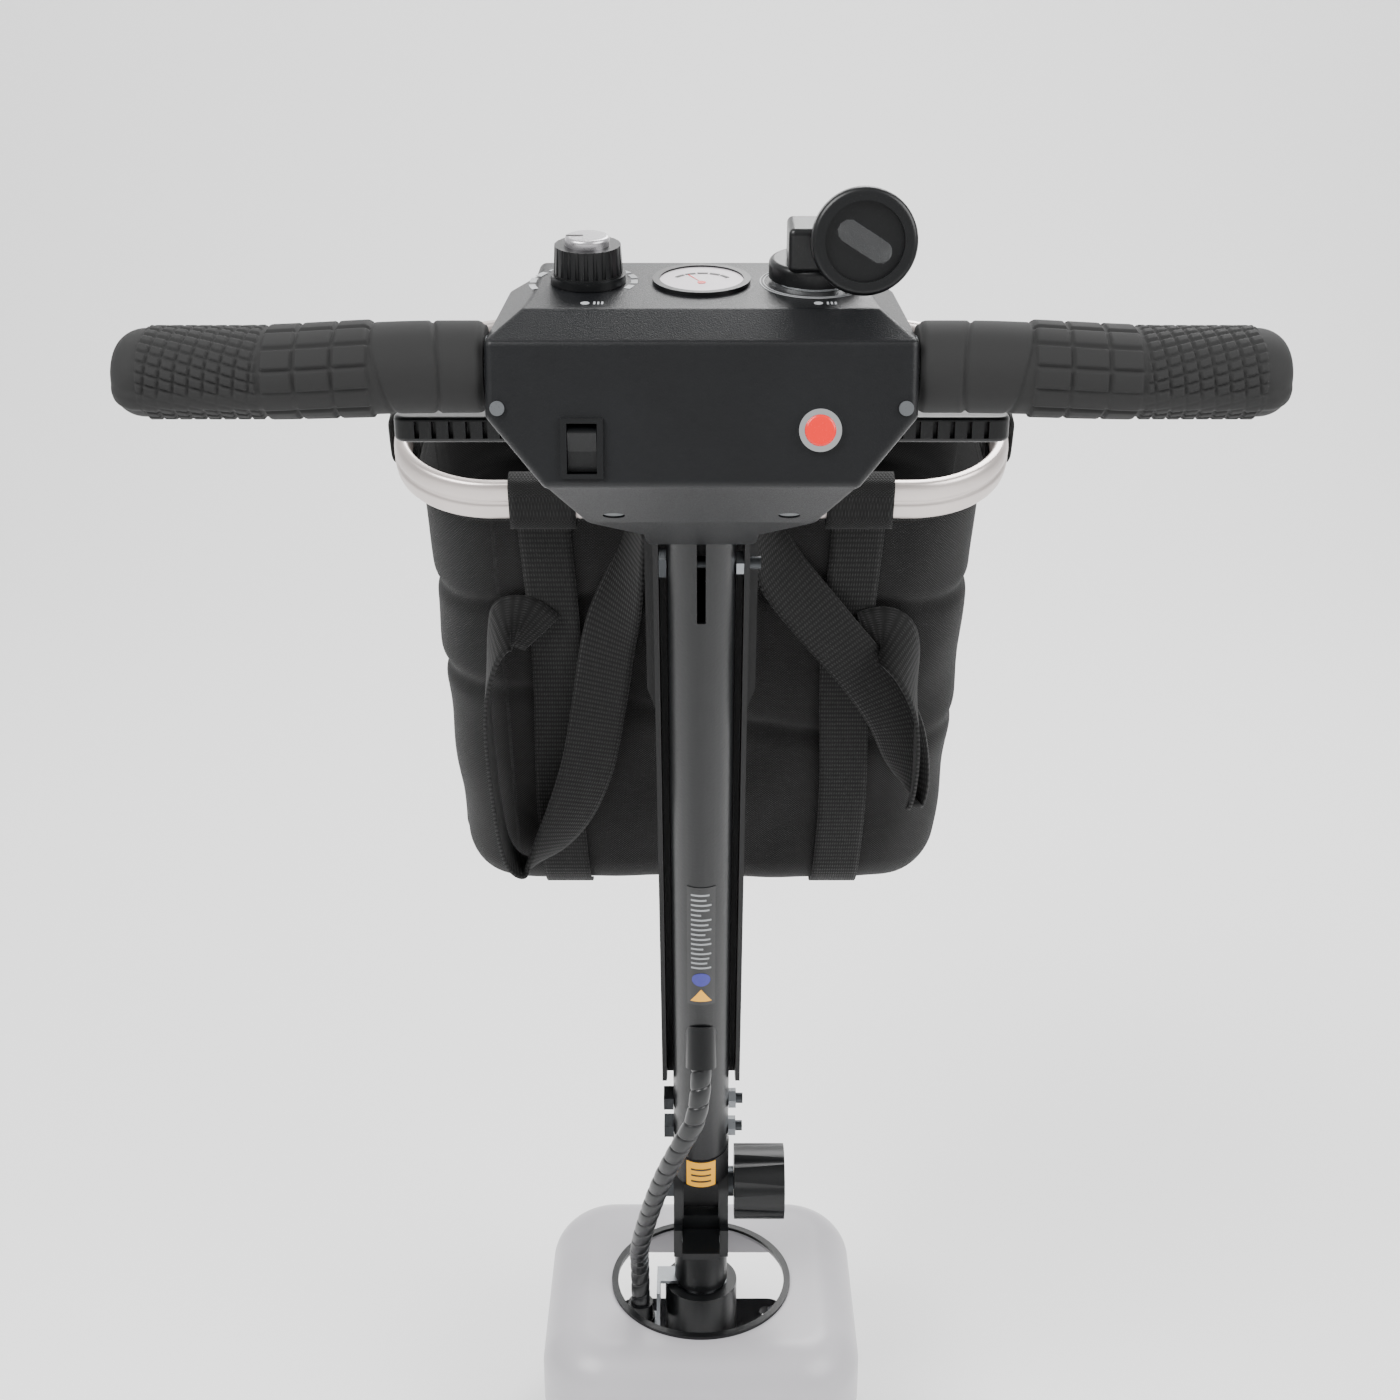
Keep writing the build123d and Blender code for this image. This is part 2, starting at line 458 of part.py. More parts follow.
def console_solid(shrink):
    side = Polygon(*outline_side, align=None)
    front = Polygon(*outline_front, align=None)
    if shrink:
        side = offset(side, amount=-shrink, kind=Kind.INTERSECTION)
        front = offset(front, amount=-shrink, kind=Kind.INTERSECTION)
    across = extrude(Plane.YZ * side, amount=CON_HALF + 20, both=True)
    along = extrude(Plane(origin=(0, 0, 0), x_dir=(1, 0, 0), z_dir=(0, -1, 0)) * front, amount=400,
                    dir=(0, -1, 0))
    return across & along


outer = console_solid(0)
outer = fillet(outer.edges(), SHELL_ROUND)
inner = console_solid(CON_WALL)
shell = outer - inner
# bores: the bar, the column, and the throttle's slots at both sides
shell -= rod(BAR_R + RUN, -120, 120, (bar_y, bar_z), "x")
for sx in (-1, 1):
    xs = sorted((sx * (CON_HALF - 14), sx * CON_HALF))
    boss = rod(BAR_R + 5, xs[0], xs[1], (bar_y, bar_z), "x") & outer
    shell += boss - rod(BAR_R + RUN, -120, 120, (bar_y, bar_z), "x")
shell -= COLUMN * rod(TUBE_R + RUN, 400, TUBE_END + GAP)
bolt_s = CONSOLE_BOLT_S[1]
shell -= COLUMN * (rod(7.0, -TUBE_R - 3.5, TUBE_R + 3.5, (0, bolt_s), "x")
                   + rod(THROUGH_R + RUN, 0, 60, (0, bolt_s), "x"))
slot_reach = math.tan(math.radians(THROTTLE_SWING)) * CON_HALF + PADDLE_DEEP / 2 + 2.5
throttle_y = THROTTLE_Y
slot_z = PADDLE_Z + PIVOT_Z
shell -= block(-100, 100, throttle_y - slot_reach, throttle_y + slot_reach,
               slot_z - PADDLE_TALL / 2 - 0.8, slot_z + PADDLE_TALL / 2 + 0.8) - block(
    -CON_LOW_HALF + 6, CON_LOW_HALF - 6, -400, 0, 0, 900)


def panel_cut(x, r, v=CONTROL_V):
    return PANEL * rod(r, -20, 20, (x, v))


shell -= panel_cut(0, GAUGE_R - 1.5)
shell -= panel_cut(-CONTROL_X, SHAFT_R + 0.5)
shell -= panel_cut(CONTROL_X, 10.0)
shell -= FACE * block(ROCKER_X - ROCKER_W / 2 + 1.5, ROCKER_X + ROCKER_W / 2 - 1.5,
                      -ROCKER_H / 2 + 1.5, ROCKER_H / 2 - 1.5, -12, 12)
shell -= FACE * rod(HORN_R - 0.8, -12, 12, (HORN_X, HORN_V))
for sx in (-1, 1):
    spot = (sx * BAR_SCREW_X, BAR_SCREW_V)
    shell -= FACE * (rod(1.5 + RUN, -7, 5, spot) + rod(2.6 + RUN, 0, 5, spot))
UNDER = Plane(origin=(0,) + at_pivot(-268, 496.6), x_dir=(1, 0, 0), z_dir=(0, -0.489, -0.872)).location
SCREW_X, SCREW_R = 33.0, 1.6
for sx in (-1, 1):
    shell -= UNDER * rod(4.2, -40, 5, (sx * SCREW_X, 0))
    shell += UNDER * (rod(6.2, -14, -2.6, (sx * SCREW_X, 0)) - rod(SCREW_R, -20, 0, (sx * SCREW_X, 0)))
BOARD_Z, BOARD_THICK = PIVOT_Z + 508.0, 1.6
for sx in (-1, 1):
    shell += rod(3, PIVOT_Z + 470, BOARD_Z, (sx * 22, -216)) & outer
part_z = PART_Z + PIVOT_Z
JOIN = 0.1
upper = shell & block(-200, 200, -400, 0, part_z + JOIN, 900)
lower = shell & block(-200, 200, -400, 0, 0, part_z)
save("console_upper", *upper.solids().sort_by(SortBy.VOLUME)[-1:])
save("console_lower", *lower.solids().sort_by(SortBy.VOLUME)[-1:])
console_screws = [UNDER * (rod(SCREW_R, -13, -2, (sx * SCREW_X, 0))
                           + rod(3.8, -2.6, -0.6, (sx * SCREW_X, 0)))
                  for sx in (-1, 1)]

board = block(-26, 26, -270, -206, BOARD_Z, BOARD_Z + BOARD_THICK)
save("circuit_board", board)
pot_top = slot_z - PADDLE_TALL / 2 - 1
pot = rod(8.5, BOARD_Z + BOARD_THICK, pot_top, (0, throttle_y))
pot += rod(SHAFT_R, pot_top, slot_z + 3, (0, throttle_y))
save("throttle_pot", pot)
arm = block(-PADDLE_HALF + 40, PADDLE_HALF - 40, throttle_y - 4.5, throttle_y + 4.5,
            slot_z - PADDLE_TALL / 2, slot_z + PADDLE_TALL / 2) + rod(
    8.0, slot_z - PADDLE_TALL / 2, slot_z + PADDLE_TALL / 2, (0, throttle_y))
for sx in (-1, 1):
    paddle = Pos(sx * (PADDLE_HALF - 26), throttle_y - 2, slot_z - PADDLE_TALL / 2) * extrude(
        RectangleRounded(52, PADDLE_DEEP, 6), amount=PADDLE_TALL)
    arm += fillet(paddle.edges(), 1.6)
    for i in range(SLOTS):
        x = sx * (PADDLE_HALF - SLOT_FROM_TIP - i * SLOT_PITCH)
        arm -= block(x - SLOT_W / 2, x + SLOT_W / 2, throttle_y - PADDLE_DEEP, throttle_y - SLOT_BACK,
                     slot_z - SLOT_TALL / 2, slot_z + SLOT_TALL / 2)
arm -= rod(SHAFT_R + RUN, slot_z - 20, slot_z + 3.4, (0, throttle_y))
save("throttle_bar", arm)

# ---- controls on the panel -----------------------------------------------------------------------
v = CONTROL_V
bezel = rod(GAUGE_R, 0, 1.6, (0, v)) + rod(GAUGE_R - 1.6, -6, 0, (0, v)) - rod(GAUGE_R - 2.6, -7, 3, (0, v))
save("gauge_bezel", PANEL * bezel)
save("gauge_lens", PANEL * rod(GAUGE_R - 2.65, -0.4, 1.0, (0, v)))
save("gauge_meter", PANEL * rod(GAUGE_R - 2.65, -15, -0.4, (0, v)))
speed_pot = rod(8.5, -14, -CON_WALL, (-CONTROL_X, v)) + rod(SHAFT_R, -CON_WALL, 9, (-CONTROL_X, v))
save("speed_pot", PANEL * speed_pot)
dial = rod(DIAL_R, 0.3, 3.4, (-CONTROL_X, v)) + Pos(-CONTROL_X, v, 3.4) * Cone(
    DIAL_R - 1.1, DIAL_R - 1.7, DIAL_H - 3.4, align=(Align.CENTER, Align.CENTER, Align.MIN))
for i in range(24):
    a = 2 * math.pi * i / 24
    flute_r = DIAL_R - 1.1
    flute_at = (-CONTROL_X + flute_r * math.cos(a), v + flute_r * math.sin(a))
    dial -= rod(0.8, 4, DIAL_H + 1, flute_at)
dial -= rod(SHAFT_R + RUN, 0, 9.5, (-CONTROL_X, v))
save("speed_knob", PANEL * dial)
cap = rod(8.2, DIAL_H, DIAL_H + 3.2, (-CONTROL_X, v))
cap = fillet(cap.edges().sort_by(Axis.Z)[-1], 1.2)
save("speed_knob_cap", PANEL * cap)
barrel = rod(9.9, -24, 0, (CONTROL_X, v)) + rod(KEY_R - 1.5, 0, 2.0, (CONTROL_X, v))
barrel -= rod(5.0, -20, 3, (CONTROL_X, v))
save("lock_barrel", PANEL * barrel)
save("lock_cylinder", PANEL * rod(5.0 - RUN, -19, 2.3, (CONTROL_X, v)))
puck = rod(KEY_R, 2.3, KEY_H, (CONTROL_X, v))
puck = fillet(puck.edges().sort_by(Axis.Z)[-1], 2)
tower = block(CONTROL_X - 10.6, CONTROL_X + 8, v - 17, v + 3, KEY_H - 1, KEY_H + 15)
tower = fillet(tower.edges(), 2.2)
DISH_X, DISH_V, DISH_N, DISH_T = 15.5, -24.0, 22.0, 8.0
DISH = Location((CONTROL_X + DISH_X, v + DISH_V, DISH_N), (78, 0, 0))
dish = rod(DISH_R, -DISH_T / 2, DISH_T / 2)
dish = fillet(dish.edges(), 2.0) - rod(DISH_R - 4.7, DISH_T / 2 - 3, DISH_T)
link = block(CONTROL_X - 2, CONTROL_X + DISH_X + 6, v + DISH_V + 3.4, v - 12, DISH_N - 8, DISH_N + 1)
save("key_head", PANEL * (puck + tower + link + DISH * dish))
tag = Pos(0, 0, DISH_T / 2 - 3) * Rot(0, 0, -32) * extrude(SlotOverall(21, 8), amount=2.2)
save("key_tag", PANEL * DISH * tag)

# ---- controls on the rider's face ----------------------------------------------------------------
rx = ROCKER_X
case = block(rx - ROCKER_W / 2, rx + ROCKER_W / 2, -ROCKER_H / 2, ROCKER_H / 2, 0, 1.8)
case_w, case_h = ROCKER_W / 2 - 1.6, ROCKER_H / 2 - 1.6
case += block(rx - case_w, rx + case_w, -case_h, case_h, -15, 0)
case -= block(rx - 5.3, rx + 5.3, -8.8, 8.8, -13.5, 3)
save("rocker_housing", FACE * case)
ROCKER_AXIS_N = -4.5
rocker = rod(8.5, rx - 5.1, rx + 5.1, (0, ROCKER_AXIS_N), "x")
hump = Plane.YZ * Polygon((9, 9), (-9, 9), (-9, -2.2), (-1.0, -0.6), (8.4, 3.2), (9, 3.4), align=None)
rocker -= extrude(hump, amount=rx + 20, both=True) + extrude(hump, amount=80, both=True)
save("power_rocker", FACE * rocker)
hx = HORN_X
hv = HORN_V
bezel = rod(HORN_R, 0, 2, (hx, hv)) + rod(HORN_R - 0.85, -13, 0, (hx, hv))
bezel -= rod(HORN_CAP_R + RUN, -12, 3, (hx, hv))
save("horn_bezel", FACE * bezel)
cap = rod(HORN_CAP_R, -6, 3.4, (hx, hv))
cap = fillet(cap.edges().sort_by(Axis.Z)[-1], 1.0)
save("horn_button", FACE * cap)
save("horn_spring", FACE * (rod(4.6, -12, -6, (hx, hv)) - rod(3.4, -13, 0, (hx, hv))))
for sx in (-1, 1):
    spot = (sx * BAR_SCREW_X, BAR_SCREW_V)
    console_screws.append(FACE * (rod(1.5, -6, 0.2, spot) + rod(2.6, RUN, 1.2, spot)))
save("console_screws", *console_screws)

# ---- wiring harness: its route, rounded as far as its runs allow ----------------------------------
HARNESS = [(0.0, -62.32, 250.9), (0.0, -70.3, 226.2), (-12.0, -65.0, 200.0), (-22.5, -54.5, 170.0),
           (-31.0, -43.0, 136.0), (-37.0, -31.0, 104.0), (-37.0, -12.0, 78.0), (-37.0, -12.0, 50.0)]


def rounded_route(points):
    """Straight runs joined by tangent arcs; also the arcs' radii."""
    at = [Vector(*p) for p in points]
    radii = []
    for a, b, c in zip(at, at[1:], at[2:]):
        turn = math.radians((b - a).get_angle(c - b))
        radii.append(0.45 * min((b - a).length, (c - b).length) / math.tan(turn / 2))
    return FilletPolyline(*at, radius=radii), radii


path, radii = rounded_route(HARNESS)
first = Vector(*HARNESS[1]) - Vector(*HARNESS[0])
cable = sweep(Plane(origin=HARNESS[0], z_dir=first) * Circle(CABLE_R), path=path)
print("harness length", round(path.length, 1), "radii", [round(r) for r in radii],
      "volume ratio", round(cable.volume / (math.pi * CABLE_R ** 2 * path.length), 4))
save("harness", cable)

plug_x, plug_y, plug_z = HARNESS[-1]
PLUG_BODY_R, PLUG_H, SHELF_T = 7.5, 14.0, 2.0
plug = rod(PLUG_BODY_R, plug_z - PLUG_H, plug_z, (plug_x, plug_y))
plug -= rod(3.0, 0, plug_z - 4, (plug_x, plug_y))
plug += rod(PLUG_BODY_R + 1.2, plug_z - PLUG_H, plug_z - PLUG_H + 4, (plug_x, plug_y))
plug -= rod(3.0, 0, plug_z - 4, (plug_x, plug_y))
save("harness_plug", plug)
shelf_z = plug_z - PLUG_H - SHELF_T
drop_x = -(HEAD_R + 3)
clip = block(plug_x - 9, drop_x, plug_y - 8, plug_y + 8, shelf_z, shelf_z + SHELF_T)
clip += block(drop_x - SHELF_T, drop_x, plug_y - 8, plug_y + 18, shelf_z, HEAD_H + 2 + SHELF_T)
clip += block(drop_x, -CROWN_R / 2, plug_y + 4, plug_y + 18, HEAD_H + 2, HEAD_H + 2 + SHELF_T)
clip -= rod(CROWN_R + RUN, 0, 200)
save("plug_bracket", clip.solids().sort_by(SortBy.VOLUME)[-1])
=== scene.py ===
"""Steering tiller of a mobility scooter: the visual model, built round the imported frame."""
import math

import bpy
import numpy as np
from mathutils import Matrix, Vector


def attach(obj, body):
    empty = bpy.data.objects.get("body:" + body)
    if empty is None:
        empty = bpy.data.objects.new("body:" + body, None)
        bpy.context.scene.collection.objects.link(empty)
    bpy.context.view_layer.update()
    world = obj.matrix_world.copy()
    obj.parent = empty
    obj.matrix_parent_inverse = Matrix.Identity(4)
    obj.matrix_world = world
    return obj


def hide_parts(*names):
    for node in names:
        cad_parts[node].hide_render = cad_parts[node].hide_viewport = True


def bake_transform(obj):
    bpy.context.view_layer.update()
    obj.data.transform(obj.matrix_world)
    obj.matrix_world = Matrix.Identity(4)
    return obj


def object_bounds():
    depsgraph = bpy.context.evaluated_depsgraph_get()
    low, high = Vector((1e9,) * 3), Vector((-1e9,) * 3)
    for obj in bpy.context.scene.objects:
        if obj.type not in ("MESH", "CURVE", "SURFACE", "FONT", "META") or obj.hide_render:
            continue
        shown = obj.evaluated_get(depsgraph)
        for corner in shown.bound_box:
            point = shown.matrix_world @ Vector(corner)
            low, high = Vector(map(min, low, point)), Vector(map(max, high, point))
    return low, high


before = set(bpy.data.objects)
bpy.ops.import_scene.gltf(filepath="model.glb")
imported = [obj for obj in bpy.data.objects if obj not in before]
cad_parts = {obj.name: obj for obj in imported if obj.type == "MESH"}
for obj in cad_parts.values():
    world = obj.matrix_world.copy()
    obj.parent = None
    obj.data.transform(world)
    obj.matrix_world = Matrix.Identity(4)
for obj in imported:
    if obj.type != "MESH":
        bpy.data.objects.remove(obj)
CAD_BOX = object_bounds()

bl_info = {
    "name": "Scooter tiller",
    "version": (1, 0, 0),
    "blender": (4, 5, 0),
    "location": "3D View > Sidebar > Tiller",
    "description": "Builds the soft pieces, finishes and stage of a scooter's steering tiller",
    "category": "Object",
}

MM = 0.001
PIVOT_Z = 0.130
LEAN = math.radians(17.1)
PANEL_TILT = math.radians(7.5)
PANEL_NEAR, PANEL_Z = -0.283, 0.577   # the panel's near edge, its height above the pivot
CATEGORY = "Tiller"


# ---- sizes and colours that a user may change ----------------------------------------------------
def size(name, description, default):
    return bpy.props.FloatProperty(name=name, description=description, default=default, unit="LENGTH")


def shade(name, description, default):
    return bpy.props.StringProperty(name=name, description=description + ", as sRGB hex", default=default)


class TillerSizes(bpy.types.PropertyGroup):
    bag_half: size("Bag half width", "Half the bag's width under its frame", 0.137)
    bag_sag: size("Bag slack", "How far the loose fabric waves in and out", 0.0035)
    web_width: size("Webbing width", "Width of the straps", 0.025)
    tile_depth: size("Grip tile depth", "How far the grip's tiles stand proud", 0.0011)
    wrap_pitch: size("Wrap pitch", "Advance of the harness's spiral wrap per turn", 0.0105)


class TillerColours(bpy.types.PropertyGroup):
    plastic: shade("Console", "Moulded console plastic", "#0c0d0f")
    paint: shade("Column", "Powder coat of the column", "#0f1011")
    cowl: shade("Cowl", "Moulded cowl", "#a9a7ab")
    rubber: shade("Grips", "Grip rubber", "#0a0b0c")
    fabric: shade("Bag", "Bag fabric", "#060606")
    webbing: shade("Webbing", "Webbing", "#0a0a0a")
    aluminium: shade("Bag frame", "Bag frame tube", "#c9c0bc")
    red: shade("Button", "Horn button", "#e3120f")


def sizes():
    return bpy.context.scene.tiller_sizes


def colours():
    return bpy.context.scene.tiller_colours


# ---- places --------------------------------------------------------------------------------------
def on_column(x, s, d):
    """Rows (x, y, z) for x across, s up the column from the pivot and d ahead of its axis, in metres."""
    x, s, d = np.broadcast_arrays(x, s, d)
    y = -s * math.sin(LEAN) + d * math.cos(LEAN)
    z = s * math.cos(LEAN) + d * math.sin(LEAN) + PIVOT_Z
    return np.stack([x, y, z], axis=-1)


def on_panel(x, v, n):
    """Rows for x across, v forward along the console's panel from its near edge, n above it."""
    x, v, n = np.broadcast_arrays(x, v, n)
    y = PANEL_NEAR + v * math.cos(PANEL_TILT) - n * math.sin(PANEL_TILT)
    z = PIVOT_Z + PANEL_Z + v * math.sin(PANEL_TILT) + n * math.cos(PANEL_TILT)
    return np.stack([x, y, z], axis=-1)


# ---- meshes --------------------------------------------------------------------------------------
def mesh_piece(name, points, faces, uv=None, smooth=True):
    """A mesh object from rows of points and of quads; uv gives two numbers for each point."""
    mesh = bpy.data.meshes.new(name)
    mesh.from_pydata(np.asarray(points, float).reshape(-1, 3).tolist(), [], np.asarray(faces).tolist())
    if uv is not None:
        layer = mesh.uv_layers.new(name="UVMap")
        loops = np.empty(len(mesh.loops), dtype=np.int32)
        mesh.loops.foreach_get("vertex_index", loops)
        layer.data.foreach_set("uv", np.asarray(uv, float).reshape(-1, 2)[loops].ravel())
    mesh.polygons.foreach_set("use_smooth", np.full(len(mesh.polygons), smooth))
    mesh.validate()
    mesh.update()
    obj = bpy.data.objects.new(name, mesh)
    bpy.context.scene.collection.objects.link(obj)
    return obj


def quads(rows, cols, wrap_rows=False, wrap_cols=False, first=0):
    """Quads of a grid of rows x cols points, joined round where it wraps."""
    r = np.arange(rows if wrap_rows else rows - 1)
    c = np.arange(cols if wrap_cols else cols - 1)
    r, c = np.meshgrid(r, c, indexing="ij")
    r2, c2 = (r + 1) % rows, (c + 1) % cols
    return first + np.stack([r * cols + c, r * cols + c2, r2 * cols + c2, r2 * cols + c], -1).reshape(-1, 4)


def grid_piece(name, points, wrap_rows=False, wrap_cols=False, flip=False, uv=None):
    rows, cols = points.shape[:2]
    faces = quads(rows, cols, wrap_rows, wrap_cols)
    if flip:
        faces = faces[:, ::-1]
    return mesh_piece(name, points, faces, uv)


def thicken(obj, thickness, offset=-1.0):
    """Gives a sheet its wall, and makes the wall part of its mesh."""
    mod = obj.modifiers.new("wall", "SOLIDIFY")
    mod.thickness, mod.offset = thickness, offset
    apply_all(obj)
    return obj


def apply_all(obj):
    bpy.context.view_layer.update()
    done = bpy.data.meshes.new_from_object(obj.evaluated_get(bpy.context.evaluated_depsgraph_get()))
    obj.modifiers.clear()
    old, obj.data = obj.data, done
    bpy.data.meshes.remove(old)


def finish_piece(obj, body, slot, material, *nodes):
    obj.data.materials.clear()
    obj.data.materials.append(material)
    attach(obj, body)
    if nodes:
        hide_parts(*nodes)
    return obj


def rounded_loop(half_w, near, far, radius, count):
    """Points (x, d) evenly round a rounded rectangle: straight sides and quarter-circle corners."""
    w, d = half_w - radius, (far - near) / 2 - radius
    sides = [2 * w, 2 * d, 2 * w, 2 * d]
    arc = math.pi * radius / 2
    total = sum(sides) + 4 * arc
    t = np.arange(count) / count * total
    x, y = np.zeros(count), np.zeros(count)
    start = 0.0
    corners = [(w, -d), (w, d), (-w, d), (-w, -d)]
    for i, (cx, cy) in enumerate(corners):
        along = (math.pi / 2) * i
        side, px, py = sides[i], math.cos(along), math.sin(along)
        on_side = (t >= start) & (t < start + side)
        k = t[on_side] - start - side
        x[on_side] = cx + k * px + radius * py
        y[on_side] = cy + k * py - radius * px
        start += side
        on_arc = (t >= start) & (t < start + arc)
        a = along - math.pi / 2 + (t[on_arc] - start) / radius
        x[on_arc] = cx + radius * np.cos(a)
        y[on_arc] = cy + radius * np.sin(a)
        start += arc
    return x, y + (near + far) / 2


# ---- materials -----------------------------------------------------------------------------------
def linear(hex_colour):
    """sRGB hex to linear RGBA."""
    rgb = [int(hex_colour.lstrip("#")[i:i + 2], 16) / 255 for i in (0, 2, 4)]
    return [c / 12.92 if c <= 0.04045 else ((c + 0.055) / 1.055) ** 2.4 for c in rgb] + [1.0]


def node(tree, kind, settings=None, **links):
    """Adds a node, sets its properties and named sockets, and links sockets given as outputs."""
    made = tree.nodes.new(kind)
    for key, value in (settings or {}).items():
        if hasattr(made, key):
            setattr(made, key, value)
        else:
            made.inputs[key].default_value = value
    for key, source in links.items():
        socket = made.inputs[int(key[1:])] if key[0] == "i" and key[1:].isdigit() else made.inputs[
            key.replace("_", " ")]
        tree.links.new(source, socket)
    return made


def surface(name, colour, roughness, metallic=0.0, **sockets):
    """A material with one Principled shader, its constants set on the shader's own sockets."""
    mat = bpy.data.materials.new(name)
    mat.use_nodes = True
    mat.diffuse_color = linear(colour)
    shader = mat.node_tree.nodes["Principled BSDF"]
    shader.inputs["Base Color"].default_value = linear(colour)
    shader.inputs["Roughness"].default_value = roughness
    shader.inputs["Metallic"].default_value = metallic
    for key, value in sockets.items():
        shader.inputs[key.replace("_", " ")].default_value = value
    return mat, mat.node_tree, shader


def speckle(tree, shader, colour, light, grain_mm, bump, roughness, spread, wear=0.25):
    """Grain: a fine noise lifts the surface, varies its gloss and mixes in a lighter tone."""
    place = node(tree, "ShaderNodeTexCoord").outputs["Object"]
    grain = node(tree, "ShaderNodeTexNoise", {"Scale": 1 / (grain_mm * MM), "Detail": 3.0}, Vector=place)
    broad = node(tree, "ShaderNodeTexNoise", {"Scale": 22.0, "Detail": 4.0}, Vector=place)
    limits = {"From Min": 0.35, "From Max": 0.75, "To Min": 0.0, "To Max": wear}
    tone = node(tree, "ShaderNodeMapRange", limits, Value=broad.outputs["Fac"])
    mix = node(tree, "ShaderNodeMix", {"data_type": "RGBA"}, Factor=tone.outputs["Result"])
    mix.inputs[6].default_value, mix.inputs[7].default_value = linear(colour), linear(light)
    rough = node(tree, "ShaderNodeMapRange", {"From Min": 0.3, "From Max": 0.7, "To Min": roughness - spread,
                                              "To Max": roughness + spread}, Value=grain.outputs["Fac"])
    lift = node(tree, "ShaderNodeBump", {"Strength": bump, "Distance": grain_mm * MM * 0.4},
                Height=grain.outputs["Fac"])
    tree.links.new(mix.outputs[2], shader.inputs["Base Color"])
    tree.links.new(rough.outputs["Result"], shader.inputs["Roughness"])
    tree.links.new(lift.outputs["Normal"], shader.inputs["Normal"])


def grained(name, colour, light, roughness, grain_mm=0.35, bump=0.5, spread=0.08, metallic=0.0, **sockets):
    mat, tree, shader = surface(name, colour, roughness, metallic, **sockets)
    speckle(tree, shader, colour, light, grain_mm, bump, roughness, spread)
    return mat


def woven(name, colour, light, thread_mm, diagonal, ribs=False):
    """Cloth on its own UV map in metres: two crossing bands of threads, or ribs across a strap."""
    mat, tree, shader = surface(name, colour, 0.82)
    shader.inputs["Sheen Weight"].default_value = 0.06
    shader.inputs["Specular IOR Level"].default_value = 0.25
    shader.inputs["Sheen Roughness"].default_value = 0.5
    uv = node(tree, "ShaderNodeUVMap", {"uv_map": "UVMap"}).outputs["UV"]
    turned = node(tree, "ShaderNodeMapping", Vector=uv)
    turned.inputs["Rotation"].default_value[2] = math.radians(45 if diagonal else 0)
    # a band wave has a period of 2 pi / 20 at scale 1
    scale = 2 * math.pi / 20 / (thread_mm * MM)
    one = node(tree, "ShaderNodeTexWave", {"bands_direction": "X", "Scale": scale, "Distortion": 0.25,
                                           "Detail": 1.0}, Vector=turned.outputs["Vector"])
    cross = scale * (0.45 if ribs else 1.0)
    two = node(tree, "ShaderNodeTexWave", {"bands_direction": "Y", "Scale": cross, "Distortion": 0.25,
                                           "Detail": 1.0}, Vector=turned.outputs["Vector"])
    height = node(tree, "ShaderNodeMath", {"operation": "MULTIPLY"}, i0=one.outputs["Fac"],
                  i1=two.outputs["Fac"])
    mix = node(tree, "ShaderNodeMix", {"data_type": "RGBA"}, Factor=height.outputs["Value"])
    mix.inputs[6].default_value, mix.inputs[7].default_value = linear(colour), linear(light)
    lift = node(tree, "ShaderNodeBump", {"Strength": 0.7, "Distance": thread_mm * MM * 0.35},
                Height=height.outputs["Value"])
    tree.links.new(mix.outputs[2], shader.inputs["Base Color"])
    tree.links.new(lift.outputs["Normal"], shader.inputs["Normal"])
    return mat


# ---- soft pieces ---------------------------------------------------------------------------------
BAG_NEAR, BAG_FAR, BAG_FOOT, BAG_CORNER = 0.047, 0.191, 0.188, 0.038
RIM_S, RIM_NEAR, RIM_FAR, RIM_HALF, RIM_CORNER = 0.463, 0.040, 0.198, 0.145, 0.048
WEB_X, SLEEVE_HALF = 0.074, 0.0155
FOOT_R, LEAN_IN = 0.030, 0.004
BAG_TOP = 0.4555
FLOOR_GAP = 0.0004      # keeps the cloth off the flat solid it stands for
CLOTH_THICK = 0.0012
HEM_OUT, HEM_RISE, HEM_DROP = 0.0011, 0.0065, 0.003
CREASE_HIGH, CREASE_LOW = 0.405, 0.322


def bag_inset(s):
    """How far the bag's wall stands inside its widest outline at height s: it leans in a little towards
    its foot and rounds under it along a quarter circle."""
    lean_in = LEAN_IN * np.clip((0.40 - s) / 0.20, 0, 1)
    low = np.clip((BAG_FOOT + FOOT_R - s) / FOOT_R, 0, 1)
    return lean_in + FOOT_R * (1 - np.sqrt(np.clip(1 - low ** 2, 0, 1)))


def bag_waves(x, s, side):
    """Slack cloth: three crossing sine waves and two sideways creases, all pointing inwards."""
    loose = np.clip((RIM_S - s) / 0.07, 0, 1) * sizes().bag_sag
    wave = 0.5 + 0.25 * np.sin(46 * x + 21 * s + 2 * side) + 0.15 * np.sin(95 * s - 33 * x + side)
    wave += 0.10 * np.sin(150 * x + 70 * s * side)
    wander = 0.018 * np.sin(14 * x)
    crease = np.exp(-((s - CREASE_LOW + wander) / 0.006) ** 2) * (0.4 + 0.6 * np.sin(17 * x + 1) ** 2)
    crease += 0.7 * np.exp(-((s - CREASE_HIGH + 0.10 * np.abs(x)) / 0.005) ** 2)
    return loose * (wave + crease)


